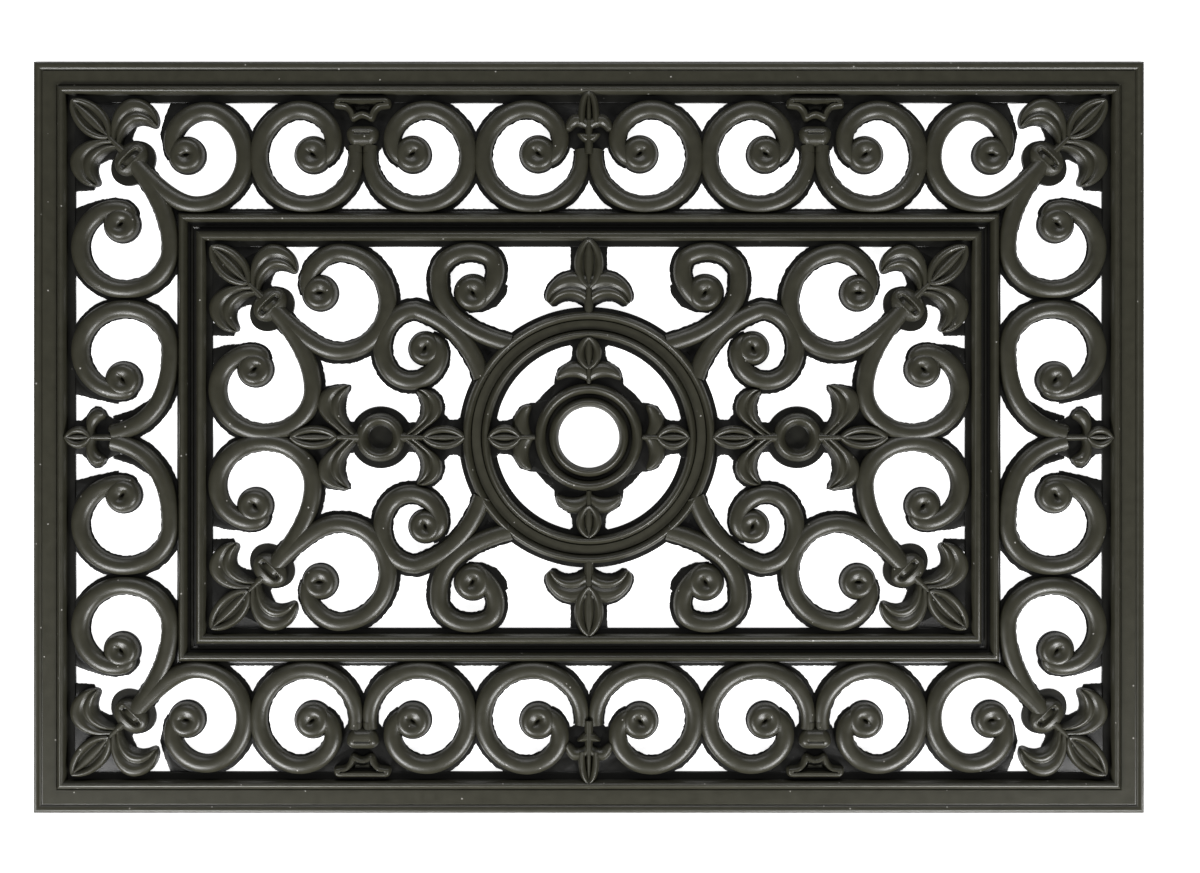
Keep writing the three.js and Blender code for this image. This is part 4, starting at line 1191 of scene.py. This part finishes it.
class DOORMAT_OT_band_fleurs(Operator):
    """Small leaf ornaments at the middle of each band"""
    bl_idname = "doormat.band_fleurs"
    bl_label = "Band Ornaments"

    def execute(self, context):
        layout = Layout()
        north_inset, east_inset = 45.6 * MM, 42.5 * MM
        north = Shape(placer((0, layout.rail_in[1] - north_inset), 90))
        add_web(north, NORTH_WEB)
        add_leaf(north, base=22, tip=46.9, half=9, blunt=0.72)
        add_petals(north, NORTH_PETAL_OUTER, NORTH_PETAL_INNER, wall=0)
        add_stem(north, places=(-3, 8, 24), halves=(3.8, 3.4, 3.2))
        add_cap(north, NORTH_CAP)
        set_out("band_fleur", north, ENDS)
        east = Shape(placer((layout.rail_in[0] - east_inset, 0), 0))
        add_web(east, EAST_WEB)
        add_leaf(east, base=22, tip=42.8, half=9.2)
        add_petals(east, EAST_PETAL_OUTER, EAST_PETAL_INNER, wall=0)
        add_stem(east, places=(-2, 8, 22.4), halves=(3.4, 2.8, 2.4))
        add_knots(east)
        set_out("band_fleur", east, SIDES)
        return {"FINISHED"}


FIELD_PETAL_OUTER = (
    (29.5, 2), (31.2, 9), (31.5, 15), (29.5, 22), (25.5, 28), (19.5, 33), (13, 35.4), (8, 35),
    (5.6, 32.6))
FIELD_PETAL_INNER = (
    (2.4, 3), (5.5, 6), (8, 11), (9, 16), (8.4, 21), (6.6, 25), (4.6, 28), (4.2, 30), (4.8, 31.8))
FIELD_WEB = ((33, 15.2), (36, 15), (50, 15), (52.5, 15.6), (53, 18), (58, 18))


class DOORMAT_OT_field_fleurs(Operator):
    """Leaf ornaments between the big ring and the frame"""
    bl_idname = "doormat.field_fleurs"
    bl_label = "Field Ornaments"

    def execute(self, context):
        shape = Shape(placer((0, ring_radius), 90))
        add_web(shape, FIELD_WEB)
        add_flanges(shape, FIELD_PETAL_OUTER, FIELD_PETAL_INNER)
        add_leaf(shape, base=18, tip=57.6, half=12)
        add_petals(shape, FIELD_PETAL_OUTER, FIELD_PETAL_INNER)
        add_stem(shape, places=(-4, 8, 19), halves=(4, 3.8, 2.6))
        set_out("field_fleur", shape, ENDS)
        return {"FINISHED"}


# Each star petal faces away from the dimpled ring; the two sides of a star differ a little
STAR_EAST_OUTER = (
    (31, 1.5), (38.5, 8), (45.4, 14), (50.2, 21), (51.6, 28.6), (49.4, 35.4), (44.2, 39.8), (37, 42),
    (30, 42.8), (25.8, 42))
STAR_EAST_INNER = (
    (17, 2.5), (21.5, 7.5), (25.8, 13), (28.4, 19), (29.2, 25), (28.4, 30.5), (26.8, 35), (25.4, 38.4),
    (24.8, 41.2))
STAR_EAST_WEB = (
    (16, 17), (21, 12.5), (25, 13), (27.8, 18), (28.6, 26), (27, 34), (24.4, 38.6), (24.2, 42.4),
    (30, 43.8), (37, 43.2), (44, 41.8), (49, 40.5), (52, 30), (56, 22), (68, 16), (74, 14))
STAR_WEST_OUTER = (
    (31, 1.5), (39.4, 8.4), (45.8, 13.6), (49.8, 19.4), (50.6, 25.6), (48.8, 31.6), (44.4, 36.2),
    (38, 39.2), (31.6, 39))
STAR_WEST_INNER = (
    (18, 2.5), (24, 7), (29, 12.4), (32, 18.4), (32.8, 24.6), (32, 29.8), (30.4, 33.6), (29.2, 36.4),
    (29.6, 38.2))
STAR_WEST_WEB = (
    (16, 17), (23, 12), (28.4, 12.6), (31.4, 18), (32.2, 26), (30.4, 32.4), (28, 36.4), (30, 40.5),
    (37, 41.8), (44, 39.6), (49.8, 34.4), (52.6, 26), (52, 19), (56, 14.5), (62, 14.5), (66.5, 17.5))


class DOORMAT_OT_stars(Operator):
    """Small dimpled ring with a leaf ornament on each side"""
    bl_idname = "doormat.stars"
    bl_label = "Stars"

    def execute(self, context):
        centre = (Layout.star_x, 0)
        into_ring = 2.5
        reach = (Layout.star_x - ring_radius) / MM + into_ring
        shape = Shape()
        for heading, tip, outer, inner, web in (
                (0, 72.6, STAR_EAST_OUTER, STAR_EAST_INNER, STAR_EAST_WEB),
                (180, reach, STAR_WEST_OUTER, STAR_WEST_INNER, STAR_WEST_WEB)):
            shape.put = placer(centre, heading)
            add_web(shape, web)
            add_leaf(shape, base=35, tip=tip, half=9.8)
            add_petals(shape, outer, inner)
            add_stem(shape, places=(17, 28, 36), halves=(4.4, 3.2, 2.4))
        top, low = (height / MM for height in shape.heights(bar_share=1, web_share=0.8))
        floor = 4.2
        fullness, ridge_start, ridge_width = 0.62, 10.2, 9.9
        profile = [(0, floor), (9.4, floor), (10, floor + 0.5)]
        for share in np.linspace(0.06, 1, 16):
            rise = math.sin(math.pi * share) ** fullness
            profile.append((ridge_start + ridge_width * share, low + (top - low) * rise))
        profile += [(24.6, low * 0.95), (25.4, low * 0.7), (25.4, 0), (0, 0)]
        shape.add(turned(centre, profile, steps=72))
        set_out("star", shape, SIDES)
        return {"FINISHED"}


HUB_PETAL_OUTER = ((14.5, 3), (16.6, 8), (16.6, 13), (14.8, 18.4), (11, 23.4), (6.4, 26.4), (2.8, 26.6))
HUB_PETAL_INNER = ((-1.5, 1), (0.6, 4), (2.4, 8), (3.2, 13), (2.8, 18), (1.4, 22.4), (0.8, 25.6))
HUB_WEB = (
    (-14, 31), (-5, 28.8), (1, 28.2), (6, 27.2), (11, 25.2), (14.6, 19.6), (17, 15.4), (21, 13.9),
    (28, 13.6), (30.4, 16.4), (37, 18))


class DOORMAT_OT_hub_fleurs(Operator):
    """Four leaf ornaments between the hub and the big ring"""
    bl_idname = "doormat.hub_fleurs"
    bl_label = "Hub Ornaments"

    def execute(self, context):
        shape = Shape(placer((0, hub_radius), 90))
        add_web(shape, HUB_WEB)
        add_leaf(shape, base=10, tip=36, half=10.4)
        add_petals(shape, HUB_PETAL_OUTER, HUB_PETAL_INNER, wall=0)
        add_stem(shape, places=(-2, 6, 13), halves=(2, 3.2, 2.6))
        for turns, side in enumerate(("north", "west", "south", "east")):
            finished(f"hub_fleur_{side}", shape, quarter_turns=turns)
        return {"FINISHED"}


# Places down from the rail's inner edge, and across a crown's middle line
CROWN_BRACKET = (
    (2.6, 0), (2.6, 12), (2.6, 19.4), (4.6, 22.6), (8.2, 23.6), (11.2, 22.8), (11.9, 19), (12.6, 14.6),
    (15.6, 11.8), (19.4, 10.4), (22, 8.6), (22.2, 6), (20.6, 3.4), (19.4, 0))
CROWN_COLLAR = (
    (25.6, 0), (25.6, 6), (26.6, 10), (29.6, 12.8), (33.4, 13.2), (37.6, 11.8), (40.8, 9.2), (42.4, 6.6),
    (42.6, 0))
CROWN_WEB = ((0, 36), (7, 36), (14, 28), (18, 24), (36, 24), (41, 16), (47, 11.5), (51, 9))


class DOORMAT_OT_crowns(Operator):
    """Crown brackets with the collars that clasp two stems"""
    bl_idname = "doormat.crowns"
    bl_label = "Crowns"

    def execute(self, context):
        layout = Layout()
        middle, rail = 2 * layout.pitch, layout.rail_in[1]
        shape = Shape(placer((middle, rail), -90))
        add_web(shape, CROWN_WEB)
        sizes = shape.sizes
        stem_top, foot = shape.heights(bar_share=0.8, web_share=WEB_SHARE)
        rim_radius, rim, wall, pad, pad_edge = 2.8 * MM, 4.4 * MM, 1.2 * MM, 6.6 * MM, 0.8 * MM
        sunk_share, pad_share = 0.74, 0.2
        collar_radius, collar_fall = 6.4 * MM, 32.2 * MM
        dash_half, dash_end, dash_width, dash_wall, dash_depth = (
            6.6 * MM, 0.8 * MM, 1.5 * MM, 1.1 * MM, 1.3 * MM)

        def bracket_height(way_in, plan):
            sunk = np.clip((way_in - rim) / wall, 0, 1)
            raised = np.clip((way_in - pad) / pad_edge, 0, 1)
            rise = shoulder(way_in, rim_radius) - sunk_share * sunk + pad_share * raised
            return foot + (sizes.bar_top - foot) * rise

        def collar_height(way_in, plan):
            x = np.abs(plan[:, 0] - middle)
            y = np.abs(plan[:, 1] - (rail - collar_fall))
            dash = np.clip((dash_half - x) / dash_end, 0, 1) * np.clip((dash_width - y) / dash_wall, 0, 1)
            return foot + (sizes.bead_top - foot) * shoulder(way_in, collar_radius) - dash_depth * dash

        for side, height_at, fall in (
                (CROWN_BRACKET, bracket_height, 11 * MM), (CROWN_COLLAR, collar_height, 33 * MM)):
            outline = shape.put(smooth_path(both_sides(side), steps=120, closed=True))
            shape.add(mound(outline, shape.put([(fall, 0)])[0], height_at, rings=34))
        stem_half, stem_start, stem_end = 4.3 * MM, rail - 39 * MM, rail - 47 * MM
        for x in (middle - stem_half, middle + stem_half):
            shape.add(swept([(x, stem_start), (x, stem_end)], stem_half, foot, stem_top))
        set_out("crown_collar", shape)
        return {"FINISHED"}


# Stage

# Place, size and power of each soft light
SOFTBOXES = {
    "left_softbox": ((-1.25, -1.65, 1.2), (0.8, 0.4), 62),
    "right_softbox": ((1.25, -1.65, 1.2), (0.8, 0.4), 62),
    "north_softbox": ((0, 2.1, 1.3), (2.4, 0.6), 28),
}


class DOORMAT_OT_stage(Operator):
    """Pale floor, soft lights and the camera above the mat"""
    bl_idname = "doormat.stage"
    bl_label = "Stage"

    def execute(self, context):
        scene = context.scene
        reach = 6
        mesh = bpy.data.meshes.new("floor")
        mesh.from_pydata([(x * reach, y * reach, 0) for x, y in QUADRANTS.values()], [], [(0, 1, 2, 3)])
        floor = new_object("floor", mesh)
        paint = bpy.data.materials.new("Pale Floor")
        paint.use_nodes = True
        tree = paint.node_tree
        wire(tree, tree.nodes["Principled BSDF"], {
            "Base Color": (*scene.doormat_finish.floor, 1),
            "Roughness": 0.9,
            "Specular IOR Level": 0.1,
            "Emission Strength": 0.9,
            "Emission Color": add_node(tree, "ShaderNodeLightPath").outputs["Is Camera Ray"],
        })
        mesh.materials.append(paint)

        world = bpy.data.worlds.new("Studio")
        world.use_nodes = True
        tree = world.node_tree
        wire(tree, tree.nodes["Background"], {"Color": (1, 1, 1, 1), "Strength": 0.11})
        scene.world = world
        scene.view_settings.view_transform = "Standard"
        for name, (place, size, power) in SOFTBOXES.items():
            soft_light(name, place, size, power)

        # The photograph's size and the middle of the mat in it, in pixels
        picture = (1200, 873)
        mat_middle = (588.9, 437.3)
        lens = 50.0
        sensor = 36.0
        distance = 1.362
        metres_per_pixel = distance * sensor / lens / picture[0]
        camera = bpy.data.cameras.new("camera")
        camera.lens = lens
        camera.sensor_width = sensor
        camera.sensor_fit = "HORIZONTAL"
        holder = new_object("camera", camera)
        holder.location = (
            (picture[0] / 2 - mat_middle[0]) * metres_per_pixel,
            (mat_middle[1] - picture[1] / 2) * metres_per_pixel,
            distance,
        )
        scene.camera = holder
        return {"FINISHED"}


def soft_light(name, place, size, power):
    """Rectangular softbox aimed at the middle of the mat"""
    light = bpy.data.lights.new(name, "AREA")
    light.shape = "RECTANGLE"
    light.size, light.size_y = size
    light.energy = power
    lamp = new_object(name, light)
    lamp.location = place
    lamp.rotation_euler = (-Vector(place)).to_track_quat("-Z", "Y").to_euler()


class DOORMAT_PT_sidebar(Panel):
    """Buttons for each group of pieces"""
    bl_idname = "DOORMAT_PT_sidebar"
    bl_label = "Openwork Doormat"
    bl_space_type = "VIEW_3D"
    bl_region_type = "UI"
    bl_category = "Doormat"

    def draw(self, context):
        for operator in OPERATORS:
            self.layout.operator(operator.bl_idname)


OPERATORS = (
    DOORMAT_OT_border,
    DOORMAT_OT_inner_frame,
    DOORMAT_OT_medallion,
    DOORMAT_OT_end_scrolls,
    DOORMAT_OT_corner_scrolls,
    DOORMAT_OT_side_scrolls,
    DOORMAT_OT_field_scrolls,
    DOORMAT_OT_corner_fleurs,
    DOORMAT_OT_band_fleurs,
    DOORMAT_OT_field_fleurs,
    DOORMAT_OT_stars,
    DOORMAT_OT_hub_fleurs,
    DOORMAT_OT_crowns,
    DOORMAT_OT_stage,
)
CLASSES = (DoormatSizes, DoormatFinish, *OPERATORS, DOORMAT_PT_sidebar)


def register():
    for item in CLASSES:
        bpy.utils.register_class(item)
    bpy.types.Scene.doormat_sizes = PointerProperty(type=DoormatSizes)
    bpy.types.Scene.doormat_finish = PointerProperty(type=DoormatFinish)


def unregister():
    del bpy.types.Scene.doormat_finish
    del bpy.types.Scene.doormat_sizes
    for item in reversed(CLASSES):
        bpy.utils.unregister_class(item)


def main():
    """Makes every piece"""
    register()
    for operator in OPERATORS:
        group, action = operator.bl_idname.split(".")
        getattr(getattr(bpy.ops, group), action)()


if __name__ == "__main__":
    main()
